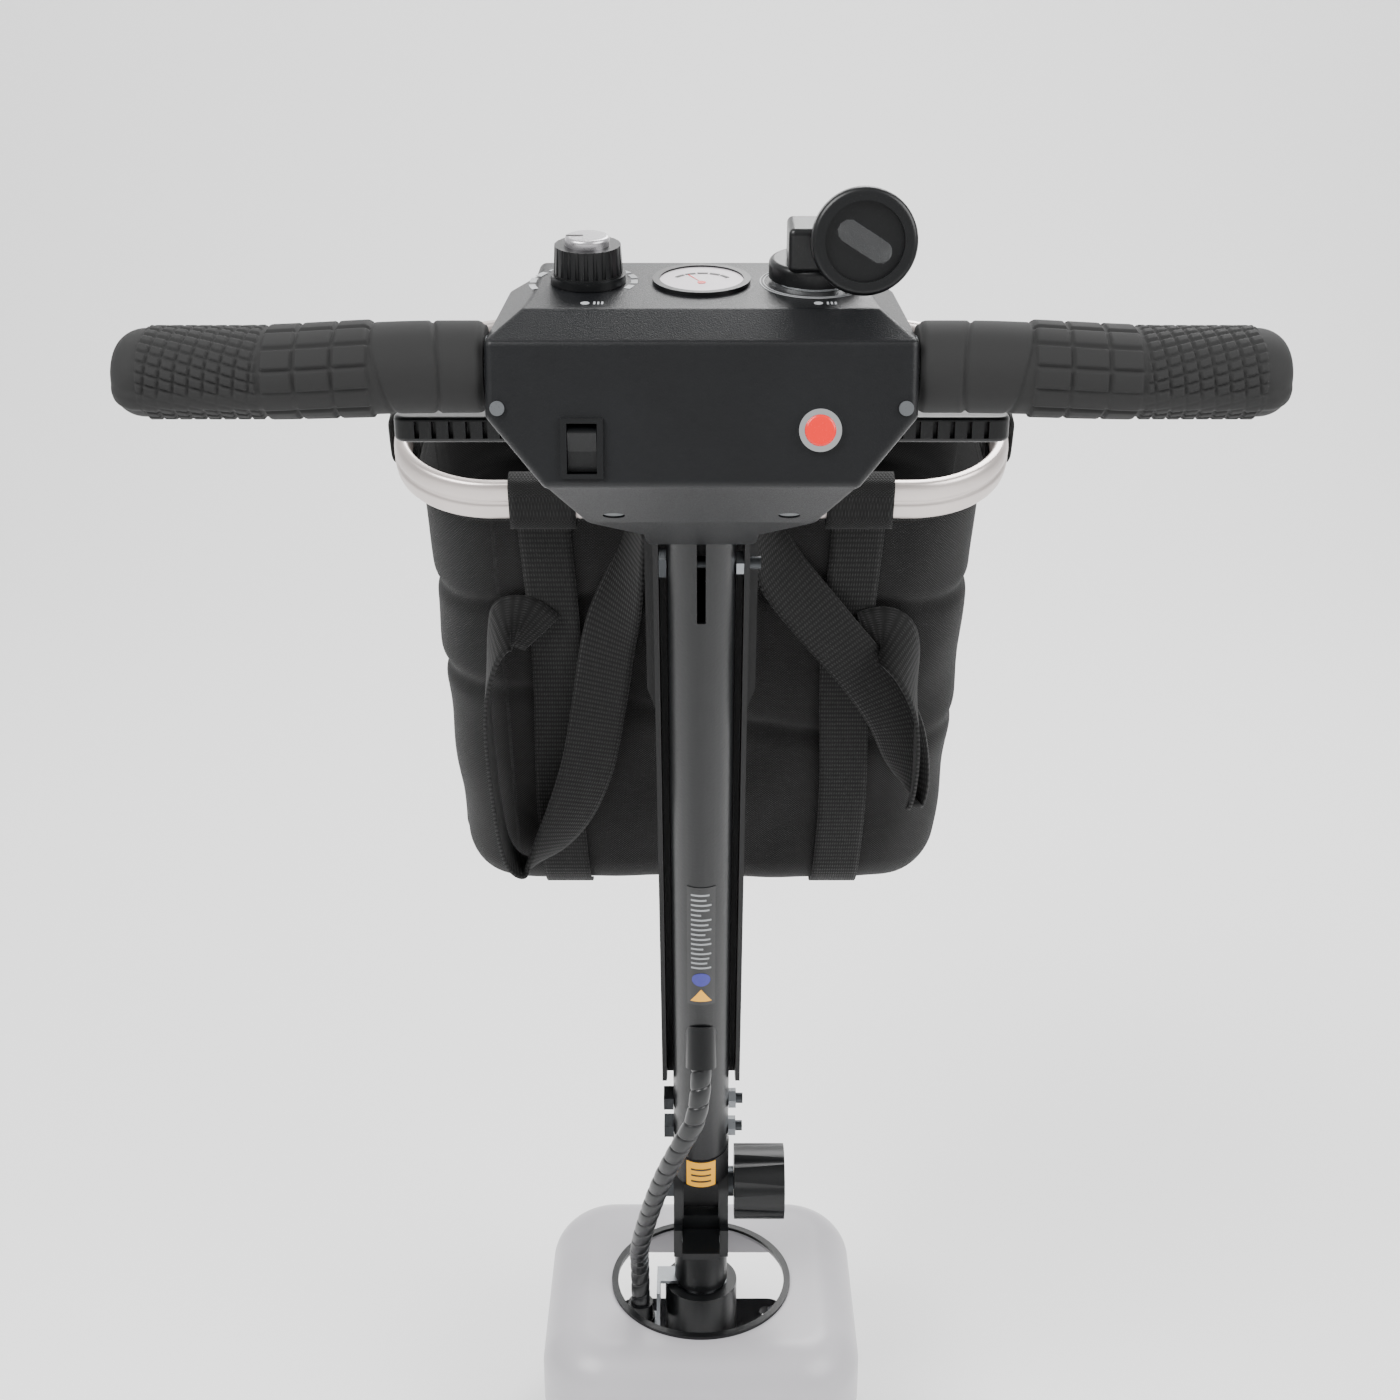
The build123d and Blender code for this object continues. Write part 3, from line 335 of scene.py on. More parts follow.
class TILLER_OT_bag(bpy.types.Operator):
    """The bag: a rounded box of slack cloth hung in its frame, with a hem and a stiff floor"""
    bl_idname = "tiller.bag"
    bl_label = "Bag"

    def execute(self, context):
        around, up, floor = 420, 190, 26
        half = sizes().bag_half
        x, d = rounded_loop(half, BAG_NEAR, BAG_FAR, BAG_CORNER, around)
        nx, nd = np.roll(d, -1) - np.roll(d, 1), -(np.roll(x, -1) - np.roll(x, 1))
        length = np.hypot(nx, nd)
        nx, nd = nx / length, nd / length
        s = np.linspace(BAG_TOP, BAG_FOOT + FLOOR_GAP, up)
        grid_s, grid_x = np.meshgrid(s, x, indexing="ij")
        inset = bag_inset(grid_s) + bag_waves(grid_x, grid_s, np.sign(nd)[None, :])
        wall_x, wall_d = x[None, :] - nx * inset, d[None, :] - nd * inset
        mid = (BAG_NEAR + BAG_FAR) / 2
        k = np.linspace(1, 0.02, floor)[1:, None]
        floor_x, floor_d = wall_x[-1] * k, mid + (wall_d[-1] - mid) * k
        floor_s = np.full_like(floor_x, BAG_FOOT) + FLOOR_GAP
        points = on_column(np.vstack([wall_x, floor_x]), np.vstack([grid_s, floor_s]),
                           np.vstack([wall_d, floor_d]))
        run = np.cumsum(np.hypot(np.diff(x, append=x[:1]), np.diff(d, append=d[:1])))
        uv_rows = np.concatenate([s, BAG_FOOT - (1 - k[:, 0]) * half])
        uv = np.stack(np.broadcast_arrays(run[None, :], uv_rows[:, None]), -1)
        bag = grid_piece("bag_cloth", points, wrap_cols=True, uv=uv, flip=True)
        thicken(bag, CLOTH_THICK)
        cloth = bpy.data.materials["woven_polyester"]
        finish_piece(bag, "column", "bag_fabric", cloth, "bag_shell")

        # hem: a closed oval bead round the bag's mouth
        turn = np.linspace(0, 2 * math.pi, 20, endpoint=False)[:, None]
        out = HEM_OUT * np.cos(turn) - FLOOR_GAP
        rise = HEM_RISE * np.sin(turn)
        hem = on_column(x[None, :] + nx * out, BAG_TOP - HEM_DROP + rise, d[None, :] + nd * out)
        ring = grid_piece("bag_hem", hem, wrap_rows=True, wrap_cols=True, flip=True,
                          uv=np.stack(np.broadcast_arrays(run[None, :], turn * 0.004), -1))
        finish_piece(ring, "column", "webbing", bpy.data.materials["ribbed_nylon_webbing"])
        return {"FINISHED"}


def strap(name, centre, across, width, thickness=0.0015):
    """A flat strap along its centre points, `width` wide in the directions across; UVs are in metres."""
    cols = 9
    v = np.linspace(-0.5, 0.5, cols)
    points = centre[:, None, :] + across[:, None, :] * (v[None, :, None] * width)
    along = np.concatenate([[0], np.cumsum(np.linalg.norm(np.diff(centre, axis=0), axis=1))])
    uv = np.stack(np.broadcast_arrays(v[None, :] * width, along[:, None]), -1)
    obj = grid_piece(name, points, uv=uv)
    return thicken(obj, thickness, 0.0)


def smooth_path(keys, count):
    """A smooth line through rows of keys: a cubic between each pair, with slopes from its neighbours."""
    keys = np.asarray(keys, float)
    slope = np.gradient(keys, axis=0)
    t = np.linspace(0, len(keys) - 1, count)
    i = np.minimum(t.astype(int), len(keys) - 2)
    f = (t - i)[:, None]
    a, b, ma, mb = keys[i], keys[i + 1], slope[i], slope[i + 1]
    return ((2 * f ** 3 - 3 * f ** 2 + 1) * a + (f ** 3 - 2 * f ** 2 + f) * ma
            + (3 * f ** 2 - 2 * f ** 3) * b + (f ** 3 - f ** 2) * mb)


# a handle's line as x, s, d and twist in degrees from lying flat on the bag, in millimetres
HANDLE_LEFT = [(-31, 450, 41, 70), (-36, 420, 38, 55), (-45, 385, 37, 20), (-52, 340, 37, 5),
               (-60, 296, 38, -5), (-74, 256, 38, -25), (-91, 232, 34, -60), (-104, 246, 31, -84),
               (-108, 300, 31, -88), (-107, 355, 31, -88), (-100, 388, 34, -70), (-90, 392, 39, -30),
               (-79, 382, 43.6, 0)]
HANDLE_RIGHT = [(29, 450, 41, -60), (38, 424, 38, -40), (60, 392, 37, -15), (83, 360, 37, -5),
                (99, 330, 37, 10), (107, 300, 36, 40), (110, 285, 33, 75), (110, 310, 30, 88),
                (108, 345, 31, 86), (102, 372, 34, 60), (92, 384, 39, 25), (80, 381, 43.6, 0)]


WEB_TOP, WEB_FOOT, WEB_PROUD = 0.4495, 0.004, 0.0010
HANDLE_WIDER, HANDLE_THICK = 1.1, 0.0017
SLEEVE_OUT, SLEEVE_RISE, SLEEVE_ROUND = 0.0058, 0.0122, 0.062
SLEEVE_UV = 0.009       # metres of cloth per radian round the frame tube
TAB_FROM, TAB_WIDE = 0.0925, 0.025


def oval(turn, half_out, half_rise, out_power, rise_power):
    """A squared oval: cosine and sine keep their sign but are raised to a power below 1."""
    c, s = np.cos(turn), np.sin(turn)
    return (half_out * np.sign(c) * np.abs(c) ** out_power,
            half_rise * np.sign(s) * np.abs(s) ** rise_power)


class TILLER_OT_straps(bpy.types.Operator):
    """Webbing on the bag, the sleeves and tabs that hang it from its frame, and the two handles"""
    bl_idname = "tiller.straps"
    bl_label = "Straps"

    def execute(self, context):
        webbing = bpy.data.materials["ribbed_nylon_webbing"]
        cloth = bpy.data.materials["woven_polyester"]
        width = sizes().web_width
        sides = ((-1, "left"), (1, "right"))
        for sx, side in sides:
            s = np.linspace(WEB_TOP, BAG_FOOT + WEB_FOOT, 90)
            d = BAG_NEAR + bag_inset(s) - WEB_PROUD
            x = sx * (WEB_X + 0.0015 * np.sin(30 * s))
            across = np.tile([1.0, 0, 0], (len(s), 1))
            web = strap("webbing_" + side, on_column(x, s, d), across, width)
            finish_piece(web, "column", "webbing", webbing, *(["bag_webbing"] if sx < 0 else []))
        for (sx, side), keys in zip(sides, (HANDLE_LEFT, HANDLE_RIGHT)):
            line = smooth_path(keys, 240)
            x, s, d = (line[:, :3] * MM).T
            twist = np.radians(line[:, 3])
            dx, ds = np.gradient(x), np.gradient(s)
            run = np.hypot(dx, ds) + 1e-9
            lying = np.cos(twist)
            wide = np.stack([ds / run * lying, -dx / run * lying, np.sin(twist)], -1)
            origin = on_column(0.0, 0.0, 0.0)
            axes = [on_column(*row) - origin for row in np.eye(3)]
            across = wide @ np.array(axes)
            points = on_column(x, s, d)
            handle = strap("handle_" + side, points, across, width * HANDLE_WIDER, HANDLE_THICK)
            finish_piece(handle, "column", "webbing", webbing, *(["bag_handles"] if sx < 0 else []))
        turn = np.linspace(0, 2 * math.pi, 48, endpoint=False)[:, None]
        out, rise = oval(turn, SLEEVE_OUT, SLEEVE_RISE, 0.35, 0.35)
        for sx, side in sides:
            for edge, where in ((RIM_NEAR, "near"), (RIM_FAR, "far")):
                x = sx * WEB_X + np.linspace(-SLEEVE_HALF, SLEEVE_HALF, 12)[None, :]
                shape = on_column(x, RIM_S - 0.0006 + rise + 0 * x, edge + out + 0 * x)
                uv = np.stack(np.broadcast_arrays(x, turn * SLEEVE_UV), -1)
                sleeve = grid_piece("sleeve_%s_%s" % (where, side), shape, wrap_rows=True, uv=uv)
                thicken(sleeve, CLOTH_THICK)
                stands_for = ["bag_sleeves"] if sx < 0 and where == "near" else []
                finish_piece(sleeve, "column", "bag_fabric", cloth, *stands_for)
        for sx, side in sides:
            d = TAB_FROM + np.linspace(0, TAB_WIDE, 10)[None, :]
            shape = on_column(sx * RIM_HALF + out + 0 * d, RIM_S + rise + 0 * d, d + 0 * turn)
            uv = np.stack(np.broadcast_arrays(d, turn * SLEEVE_UV), -1)
            tab = grid_piece("tab_side_" + side, shape, wrap_rows=True, flip=True, uv=uv)
            thicken(tab, 0.0015)
            finish_piece(tab, "column", "webbing", webbing, *(["corner_tabs"] if sx < 0 else []))
        return {"FINISHED"}


FRAME_HALF_OUT, FRAME_HALF_RISE = 0.0039, 0.0099
FRAME_GROOVE, FRAME_GROOVE_HALF = 0.28, 0.0011


class TILLER_OT_bag_frame(bpy.types.Operator):
    """The bag's frame: a flattened aluminium tube bent to a rounded rectangle, with a rolled line round it"""
    bl_idname = "tiller.bag_frame"
    bl_label = "Bag frame"

    def execute(self, context):
        x, d = rounded_loop(RIM_HALF, RIM_NEAR, RIM_FAR, RIM_CORNER, 360)
        nx, nd = np.roll(d, -1) - np.roll(d, 1), -(np.roll(x, -1) - np.roll(x, 1))
        length = np.hypot(nx, nd)
        nx, nd = nx / length, nd / length
        turn = np.linspace(0, 2 * math.pi, 72, endpoint=False)[:, None]
        out, rise = oval(turn, FRAME_HALF_OUT, FRAME_HALF_RISE, 0.6, 0.9)
        out = out * (1 - FRAME_GROOVE * np.exp(-(rise / FRAME_GROOVE_HALF) ** 2))
        tube = grid_piece("bag_frame_tube", on_column(x + nx * out, RIM_S + rise + 0 * x, d + nd * out),
                          wrap_rows=True, wrap_cols=True, flip=True)
        finish_piece(tube, "column", "aluminium_bar", bpy.data.materials["anodised_aluminium"], "bag_frame")
        return {"FINISHED"}


# ---- grips, harness and marks --------------------------------------------------------------------
BAR_Y, BAR_Z = -0.282, PIVOT_Z + 0.556
GRIP_IN, GRIP_OUT, GRIP_R, WING = 0.0766, 0.207, 0.0174, 0.009


def groove(t, pitch, width):
    """1 on a tile and 0 in the groove between tiles, that is where t is near a multiple of pitch."""
    near = np.abs((t / pitch + 0.5) % 1 - 0.5) * pitch
    return 1 - np.exp(-(near / width) ** 4)


def step(t, start, end):
    """0 before start, 1 after end, eased between."""
    f = np.clip((t - start) / (end - start), 0, 1)
    return f * f * (3 - 2 * f)


GRIP_BASE, GRIP_DROP = 0.0011, 0.0010        # the plain surface lies this far inside GRIP_R; wing's droop
CAP_LONG, CAP_END = 0.010, 0.45
TILE_LONG, TILE_WIDE, TILE_GAP = 0.0128, 0.0096, 0.0008
BLOCK_LONG, BLOCK_WIDE, BLOCK_GAP = 0.0052, 0.0046, 0.0006
TILES_FROM_TO, BLOCKS_FROM_TO = (0.0385, 0.0765), (0.0775, 0.1195)
RIDGE_AT, RIDGE_PROUD = math.radians(205), 0.0014


def zone(t, start, end, edge=0.001):
    """1 between start and end, with an eased edge inside each."""
    return step(t, start, start + edge) * (1 - step(t, end - edge, end))


class TILLER_OT_grips(bpy.types.Operator):
    """Both grips: an oval that grows a palm wing outwards, with two fields of raised tiles, a ring groove,
    plain bands at both ends and a rounded cap"""
    bl_idname = "tiller.grips"
    bl_label = "Grips"

    def execute(self, context):
        along, around = 330, 216
        length = GRIP_OUT - GRIP_IN
        e = np.linspace(0, 1, along)[:, None] * length
        turn = np.linspace(0, 2 * math.pi, around, endpoint=False)[None, :]
        grow = WING * step(e, 0.010, 0.085)
        drop = GRIP_DROP * step(e, 0.020, 0.090)
        # the radius falls to a rounded cap at the outer end and a small lip at the inner one
        left = np.clip((length - e) / CAP_LONG, 0, 1)
        cap = np.sqrt(np.clip(1 - (1 - left) ** 2, 0.0, 1)) * (1 - CAP_END) + CAP_END
        cap = np.where(e >= length, CAP_END, cap)
        lip = 1 - 0.10 * np.exp(-(e / 0.0016) ** 2)
        arc = turn * (GRIP_R + 0.002)
        skew = arc + 0.35 * (e - 0.08)
        tiles = groove(e - 0.001, TILE_LONG, TILE_GAP) * groove(arc + 0.002, TILE_WIDE, TILE_GAP)
        blocks = groove(e - 0.12 * arc, BLOCK_LONG, BLOCK_GAP) * groove(skew, BLOCK_WIDE, BLOCK_GAP)
        tile_zone = zone(e, *TILES_FROM_TO)
        block_zone = zone(e, *BLOCKS_FROM_TO)
        # the wing's ridge, low on the rider's side, stays smooth
        ridge = np.exp(-((np.cos(turn - RIDGE_AT) - 1) / 0.028) ** 2) * step(e, 0.03, 0.07)
        relief = sizes().tile_depth * (tile_zone * tiles + block_zone * blocks * 0.9) * (1 - 0.85 * ridge)
        relief = relief - 0.0009 * np.exp(-((e - 0.0185 - 0.003 * np.cos(turn)) / 0.0008) ** 2)
        relief = relief - 0.0007 * np.exp(-((e - 0.0365 - 0.004 * np.sin(turn)) / 0.0009) ** 2)
        relief = relief + RIDGE_PROUD * ridge * step(e, 0.03, 0.09)
        half_y = (GRIP_R + grow / 2 - GRIP_BASE) * cap * lip + relief
        half_z = (GRIP_R - drop - GRIP_BASE) * cap * lip + relief
        y = BAR_Y - grow / 2 + half_y * np.cos(turn)
        z = BAR_Z - drop + half_z * np.sin(turn)
        for sx, side in ((-1, "left"), (1, "right")):
            x = sx * (GRIP_IN + e) + 0 * turn
            rings = np.stack([x, y, z], -1)
            ends = []
            for row, out in ((0, -0.0001), (-1, 0.0004)):
                centre = rings[row].mean(axis=0)
                steps = np.linspace(1, 0.02, 9)[1:, None, None]
                fan = centre + (rings[row][None] - centre) * steps
                fan[..., 0] += sx * out * (1 - steps[..., 0])
                ends.append(fan)
            rows = np.concatenate([ends[0][::-1], rings, ends[1]])
            grip = grid_piece("grip_rubber_" + side, rows, wrap_cols=True, flip=sx < 0)
            finish_piece(grip, "column", "grip_rubber", bpy.data.materials["grip_rubber"], "grip_" + side)
        return {"FINISHED"}


# the harness's route, in millimetres
HARNESS = [(0.0, -62.32, 250.9), (0.0, -70.3, 226.2), (-12.0, -65.0, 200.0), (-22.5, -54.5, 170.0),
           (-31.0, -43.0, 136.0), (-37.0, -31.0, 104.0), (-37.0, -12.0, 78.0), (-37.0, -12.0, 50.0)]
HARNESS_R = 0.0058


class TILLER_OT_harness(bpy.types.Operator):
    """The wiring harness: a tube along its route, wrapped in a spiral band whose turns overlap"""
    bl_idname = "tiller.harness"
    bl_label = "Harness"

    def execute(self, context):
        curve = bpy.data.curves.new("harness_route", "CURVE")
        curve.dimensions = "3D"
        curve.resolution_u = 40
        spline = curve.splines.new("NURBS")
        spline.points.add(len(HARNESS) - 1)
        rows = np.column_stack([np.array(HARNESS) * MM, np.ones(len(HARNESS))])
        spline.points.foreach_set("co", rows.ravel())
        spline.order_u = 3
        spline.use_endpoint_u = True
        route = bpy.data.objects.new("harness_route", curve)
        context.scene.collection.objects.link(route)
        context.view_layer.update()
        line = bpy.data.meshes.new_from_object(route)
        path = np.empty(len(line.vertices) * 3)
        line.vertices.foreach_get("co", path)
        path = path.reshape(-1, 3)
        bpy.data.objects.remove(route)
        bpy.data.curves.remove(curve)
        bpy.data.meshes.remove(line)
        gaps = np.linalg.norm(np.diff(path, axis=0), axis=1)
        path = path[np.concatenate([[True], gaps > 1e-7])]
        run = np.concatenate([[0], np.cumsum(np.linalg.norm(np.diff(path, axis=0), axis=1))])
        at = np.linspace(0, run[-1], 520)
        centre = np.stack([np.interp(at, run, path[:, i]) for i in range(3)], -1)
        tangent = np.gradient(centre, axis=0)
        tangent /= np.linalg.norm(tangent, axis=1)[:, None]
        side = np.cross(tangent, [1.0, 0.2, 0.0])
        side /= np.linalg.norm(side, axis=1)[:, None]
        up = np.cross(tangent, side)
        turn = np.linspace(0, 2 * math.pi, 40, endpoint=False)[None, :]
        phase = (at[:, None] / sizes().wrap_pitch - turn / (2 * math.pi)) % 1
        # each turn of the band swells a little, then tucks under the next one's edge
        radius = HARNESS_R * (0.93 + 0.065 * np.sin(math.pi * phase ** 0.8)
                              - 0.10 * np.exp(-(np.minimum(phase, 1 - phase) / 0.035) ** 2))
        tube = centre[:, None] + radius[..., None] * (side[:, None] * np.cos(turn)[..., None]
                                                      + up[:, None] * np.sin(turn)[..., None])
        caps = [centre[i] + (tube[i] - centre[i]) * 0.02 for i in (0, -1)]
        rings = np.concatenate([caps[0][None], tube, caps[1][None]])
        uv = np.stack(np.broadcast_arrays(turn * HARNESS_R, np.concatenate([[0], at, [at[-1]]])[:, None]), -1)
        cable = grid_piece("harness_wrap", rings, wrap_cols=True, uv=uv)
        cable.data.materials.append(bpy.data.materials["spiral_wrap_polyethylene"])
        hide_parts("harness")
        tuple(path[0])
        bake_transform(cable)
        return {"FINISHED"}


def patch(place, r0, r1, a0, a1, cx=0.0, cv=0.0, count=48):
    """A grid over part of a ring: two radii by many angles in degrees, put on a surface by `place`."""
    a = np.radians(np.linspace(a0, a1, count))[None, :]
    r = np.linspace(r0, r1, 3)[:, None]
    return place(cx + r * np.cos(a), cv + r * np.sin(a))


def panel_mark(place, x0, x1, v0, v1, cols=9):
    """A grid over a rectangle, put on a surface by `place`."""
    return place(np.linspace(x0, x1, cols)[None, :] + np.zeros((3, 1)), np.linspace(v0, v1, 3)[:, None]
                 + np.zeros((1, cols)))


def marks_piece(name, grids, body, slot, material):
    """Several grids joined in one thin printed layer."""
    points, faces, first = [], [], 0
    for g in grids:
        points.append(g.reshape(-1, 3))
        faces.append(quads(g.shape[0], g.shape[1], first=first))
        first += g.shape[0] * g.shape[1]
    obj = mesh_piece(name, np.concatenate(points), np.concatenate(faces), smooth=False)
    thicken(obj, PRINT, 0.0)
    return finish_piece(obj, body, slot, material)


CONTROL_X, CONTROL_V = 0.0415, 0.031
PRINT = 0.00012            # a printed layer's thickness
DIAL_LIFT, CAP_LIFT = 0.00112, 0.0173
DIAL_CENTRE = -0.004
TUBE_R, COLLAR_R = 0.01635, 0.01705
LABEL_LEFT, LABEL_WIDE, LABEL_LINE = -0.0054, 0.0108, 0.0012
LABEL_LOW, LABEL_HIGH, LABEL_PITCH = 0.204, 0.261, 0.0036
LINE_LENGTHS = (1, .8, .9, 1, .6, 1, .95, .7, 1, .85, 1, .5, .9, 1, .75, .9)


def on_panel_print(x, v):
    return on_panel(x, v, PRINT)


def on_dial(x, v):
    return on_panel(x, v + CONTROL_V, DIAL_LIFT)


def on_cap(x, v):
    return on_panel(x - CONTROL_X, v + CONTROL_V, CAP_LIFT)


def on_round(radius):
    """A place function that wraps flat (x, s) round the column's near side at this radius."""
    def place(x, s):
        return on_column(radius * np.sin(x / radius), s, -radius * np.cos(x / radius))
    return place


class TILLER_OT_marks(bpy.types.Operator):
    """Printed and moulded marks: the speed scale, key ring, gauge dial, knob pointer and stickers"""
    bl_idname = "tiller.marks"
    bl_label = "Marks"

    def execute(self, context):
        mats = bpy.data.materials
        grids = []
        # the speed scale's strokes run outwards a little as they go round the knob
        for a0 in range(-30, 206, 22):
            grids.append(patch(on_panel_print, 0.0158 + 0.00002 * a0, 0.0182 + 0.00002 * a0, a0, a0 + 15,
                               -CONTROL_X, CONTROL_V, 10))
        for r in (0.0186, 0.0198):
            grids.append(patch(on_panel_print, r, r + 0.0004, 0, 360, CONTROL_X, CONTROL_V, 90))
        for x in (-CONTROL_X, CONTROL_X):
            grids.append(patch(on_panel_print, 0.0, 0.0016, 0, 360, x, 0.0055, 24))
            for i in range(3):
                left = x + 0.003 + i * 0.0014
                grids.append(panel_mark(on_panel_print, left, left + 0.0007, 0.0042, 0.0070))
        marks_piece("panel_print", grids, "column", "silver_film", mats["white_print"])

        arcs = [patch(on_dial, 0.0105, 0.0118, a, a + 20, 0, DIAL_CENTRE, 12) for a in range(30, 150, 24)]
        marks_piece("gauge_scale", arcs, "column", "black_plastic", mats["black_print"])
        needle = [patch(on_dial, 0.0, 0.0102, 116, 119.5, 0, DIAL_CENTRE, 4),
                  patch(on_dial, 0, 0.0016, 0, 360, 0, DIAL_CENTRE, 24)]
        marks_piece("gauge_needle", needle, "column", "red_plastic", mats["red_abs"])
        pointer = [panel_mark(on_cap, -0.0078, -0.0015, -0.0006, 0.0006)]
        marks_piece("knob_pointer", pointer, "speed_knob", "black_plastic", mats["black_print"])

        tube = on_round(TUBE_R)
        rows = np.arange(LABEL_LOW, LABEL_HIGH, LABEL_PITCH)
        label = [panel_mark(tube, LABEL_LEFT, LABEL_LEFT + LABEL_WIDE * w, s, s + LABEL_LINE)
                 for s, w in zip(rows, LINE_LENGTHS)]
        marks_piece("label_lines", label, "column", "silver_film", mats["grey_print"])
        blue = [patch(tube, 0, 0.0050, 0, 360, 0, 0.1955, 40)]
        marks_piece("label_round", blue, "column", "paper_label", mats["blue_print"])
        rise = np.linspace(0, 1, 3)[:, None]
        across = np.linspace(-1, 1, 9)[None, :]
        triangle = [tube(across * 0.0058 * (1 - rise), 0.1785 + 0.0095 * rise + 0 * across)]
        marks_piece("label_triangle", triangle, "column", "yellow_label", mats["yellow_vinyl"])
        lines = [panel_mark(on_round(COLLAR_R), -0.006, 0.006, s, s + 0.0014) for s in (0.021, 0.0265, 0.032)]
        marks_piece("caution_lines", lines, "column", "black_plastic", mats["black_print"])
        return {"FINISHED"}


# ---- finishes ------------------------------------------------------------------------------------
def make_materials():
    """Every finish on the object, named for its material and how it was made."""
    c = colours()
    made = {}
    # injection-moulded ABS with a spark-eroded pebble grain: soft highlights that break up
    made["console"] = grained("grained_abs", c.plastic, "#1c1e21", 0.40, 0.55, 0.55, 0.07,
                              Specular_IOR_Level=0.30)
    # plain moulded nylon: tighter and glossier than the console
    made["nylon"] = grained("moulded_nylon", "#0b0c0d", "#17181a", 0.32, 0.30, 0.2, 0.05,
                            Specular_IOR_Level=0.35)
    # thermoplastic rubber: matte, with a faint bloom
    made["rubber"] = grained("grip_rubber", c.rubber, "#141516", 0.50, 0.25, 0.35, 0.06,
                             Specular_IOR_Level=0.30)
    # polyester powder coat: satin with a slight orange peel
    made["paint"] = grained("satin_powder_coat", c.paint, "#1c1d1f", 0.33, 1.6, 0.10, 0.03,
                            Specular_IOR_Level=0.35)
    made["rough_paint"] = grained("low_sheen_powder_coat", "#0b0b0c", "#161718", 0.50, 0.8, 0.25, 0.05,
                                  Specular_IOR_Level=0.30)
    # blow-moulded polypropylene, light grey, semi-gloss
    made["cowl"] = grained("polypropylene_cowl", c.cowl, "#b9b7bb", 0.33, 0.6, 0.10, 0.04)
    made["zinc"] = grained("zinc_plated_steel", "#7f8285", "#a9acae", 0.34, 0.5, 0.15, 0.07, metallic=1.0)
    made["dark_zinc"] = grained("blackened_steel", "#3c3e40", "#6b6e70", 0.38, 0.5, 0.2, 0.08, metallic=1.0)
    made["turned"] = grained("turned_steel", "#8d9093", "#b4b7ba", 0.28, 0.4, 0.15, 0.06, metallic=1.0)
    made["chrome"] = surface("bright_chrome", "#d8dadb", 0.08, 1.0)[0]
    made["brass"] = grained("turned_brass", "#b08d3e", "#d3b468", 0.30, 0.4, 0.15, 0.06, metallic=1.0)
    made["aluminium"] = grained("anodised_aluminium", c.aluminium, "#ddd6d2", 0.33, 0.25, 0.18, 0.05,
                                metallic=0.85)
    made["spring"] = surface("spring_wire", "#6f7275", 0.3, 1.0)[0]
    made["red"] = grained("red_abs", c.red, "#e81a14", 0.25, 0.6, 0.05, 0.03)
    made["silver"] = grained("silver_film", "#b5afb3", "#c9c4c8", 0.38, 0.3, 0.10, 0.05, metallic=0.3)
    made["cap"] = grained("spun_aluminium_cap", "#b8b6b9", "#d8d6d9", 0.30, 0.3, 0.15, 0.05, metallic=0.9)
    made["clear"] = surface("clear_acrylic", "#f4f6f8", 0.06, 0.0, Transmission_Weight=0.9, Alpha=0.35)[0]
    made["board"] = grained("glass_fibre_board", "#1f5a34", "#2f7a48", 0.45, 0.5, 0.1, 0.05)
    made["card"] = grained("fibre_board", "#1c1c1c", "#2a2a2a", 0.8, 0.6, 0.3, 0.05)
    made["yellow"] = grained("yellow_vinyl", "#e9a50a", "#f2b62a", 0.38, 0.6, 0.05, 0.04)
    made["label"] = grained("black_vinyl", "#0e0f10", "#161718", 0.30, 0.6, 0.05, 0.03)
    made["white"] = surface("white_print", "#a9abad", 0.5)[0]
    made["grey"] = surface("grey_print", "#8d9092", 0.5)[0]
    made["black"] = surface("black_print", "#1a1612", 0.5)[0]
    made["blue"] = surface("blue_print", "#2a2a85", 0.4)[0]
    # spiral-cut polyethylene band: waxy, with long highlights
    made["wrap"] = grained("spiral_wrap_polyethylene", "#131415", "#202224", 0.33, 0.5, 0.08, 0.04)
    # 600-denier polyester in a diagonal weave; threads drawn at 1.1 mm, coarser than real, so they show
    made["cloth"] = woven("woven_polyester", c.fabric, "#1a1a1a", 1.1, True)
    # nylon webbing: ribs of about 2 mm along the strap, crossed by fine weft
    made["webbing"] = woven("ribbed_nylon_webbing", c.webbing, "#232323", 1.3, False, ribs=True)
    return made


FINISH = {
    "head_tube": "paint", "head_bearings": "turned", "front_cowl": "cowl", "cowl_screws": "zinc",
    "cowl_trim": "nylon", "steerer_shaft": "turned", "steerer_washer": "zinc", "steerer_nut": "zinc",
    "stem_crown": "paint", "hinge_yoke": "paint", "hinge_bolt": "dark_zinc", "clamp_washer": "dark_zinc",
    "lever_pin": "turned", "plug_bracket": "zinc", "harness_plug": "nylon", "fold_knob": "nylon",
    "knob_insert": "brass", "latch_lever": "nylon", "hinge_knuckle": "rough_paint", "caution_label": "yellow",
    "column_tube": "paint", "back_channel": "rough_paint", "column_bolts": "dark_zinc",
    "column_nuts": "zinc", "cable_grommet": "nylon", "column_label": "label", "bag_bracket": "rough_paint",
    "bracket_bolts": "dark_zinc", "bag_base_board": "card", "handlebar": "turned", "console_upper": "console",
    "console_lower": "console", "console_screws": "zinc", "circuit_board": "board", "throttle_pot": "nylon",
    "gauge_bezel": "nylon", "gauge_lens": "silver", "gauge_meter": "silver", "speed_pot": "turned",
    "lock_barrel": "chrome", "rocker_housing": "nylon", "horn_bezel": "chrome", "horn_spring": "spring",
    "throttle_bar": "nylon", "speed_knob": "nylon", "speed_knob_cap": "cap", "lock_cylinder": "chrome",
    "key_head": "nylon", "key_tag": "clear", "power_rocker": "nylon", "horn_button": "red",
}


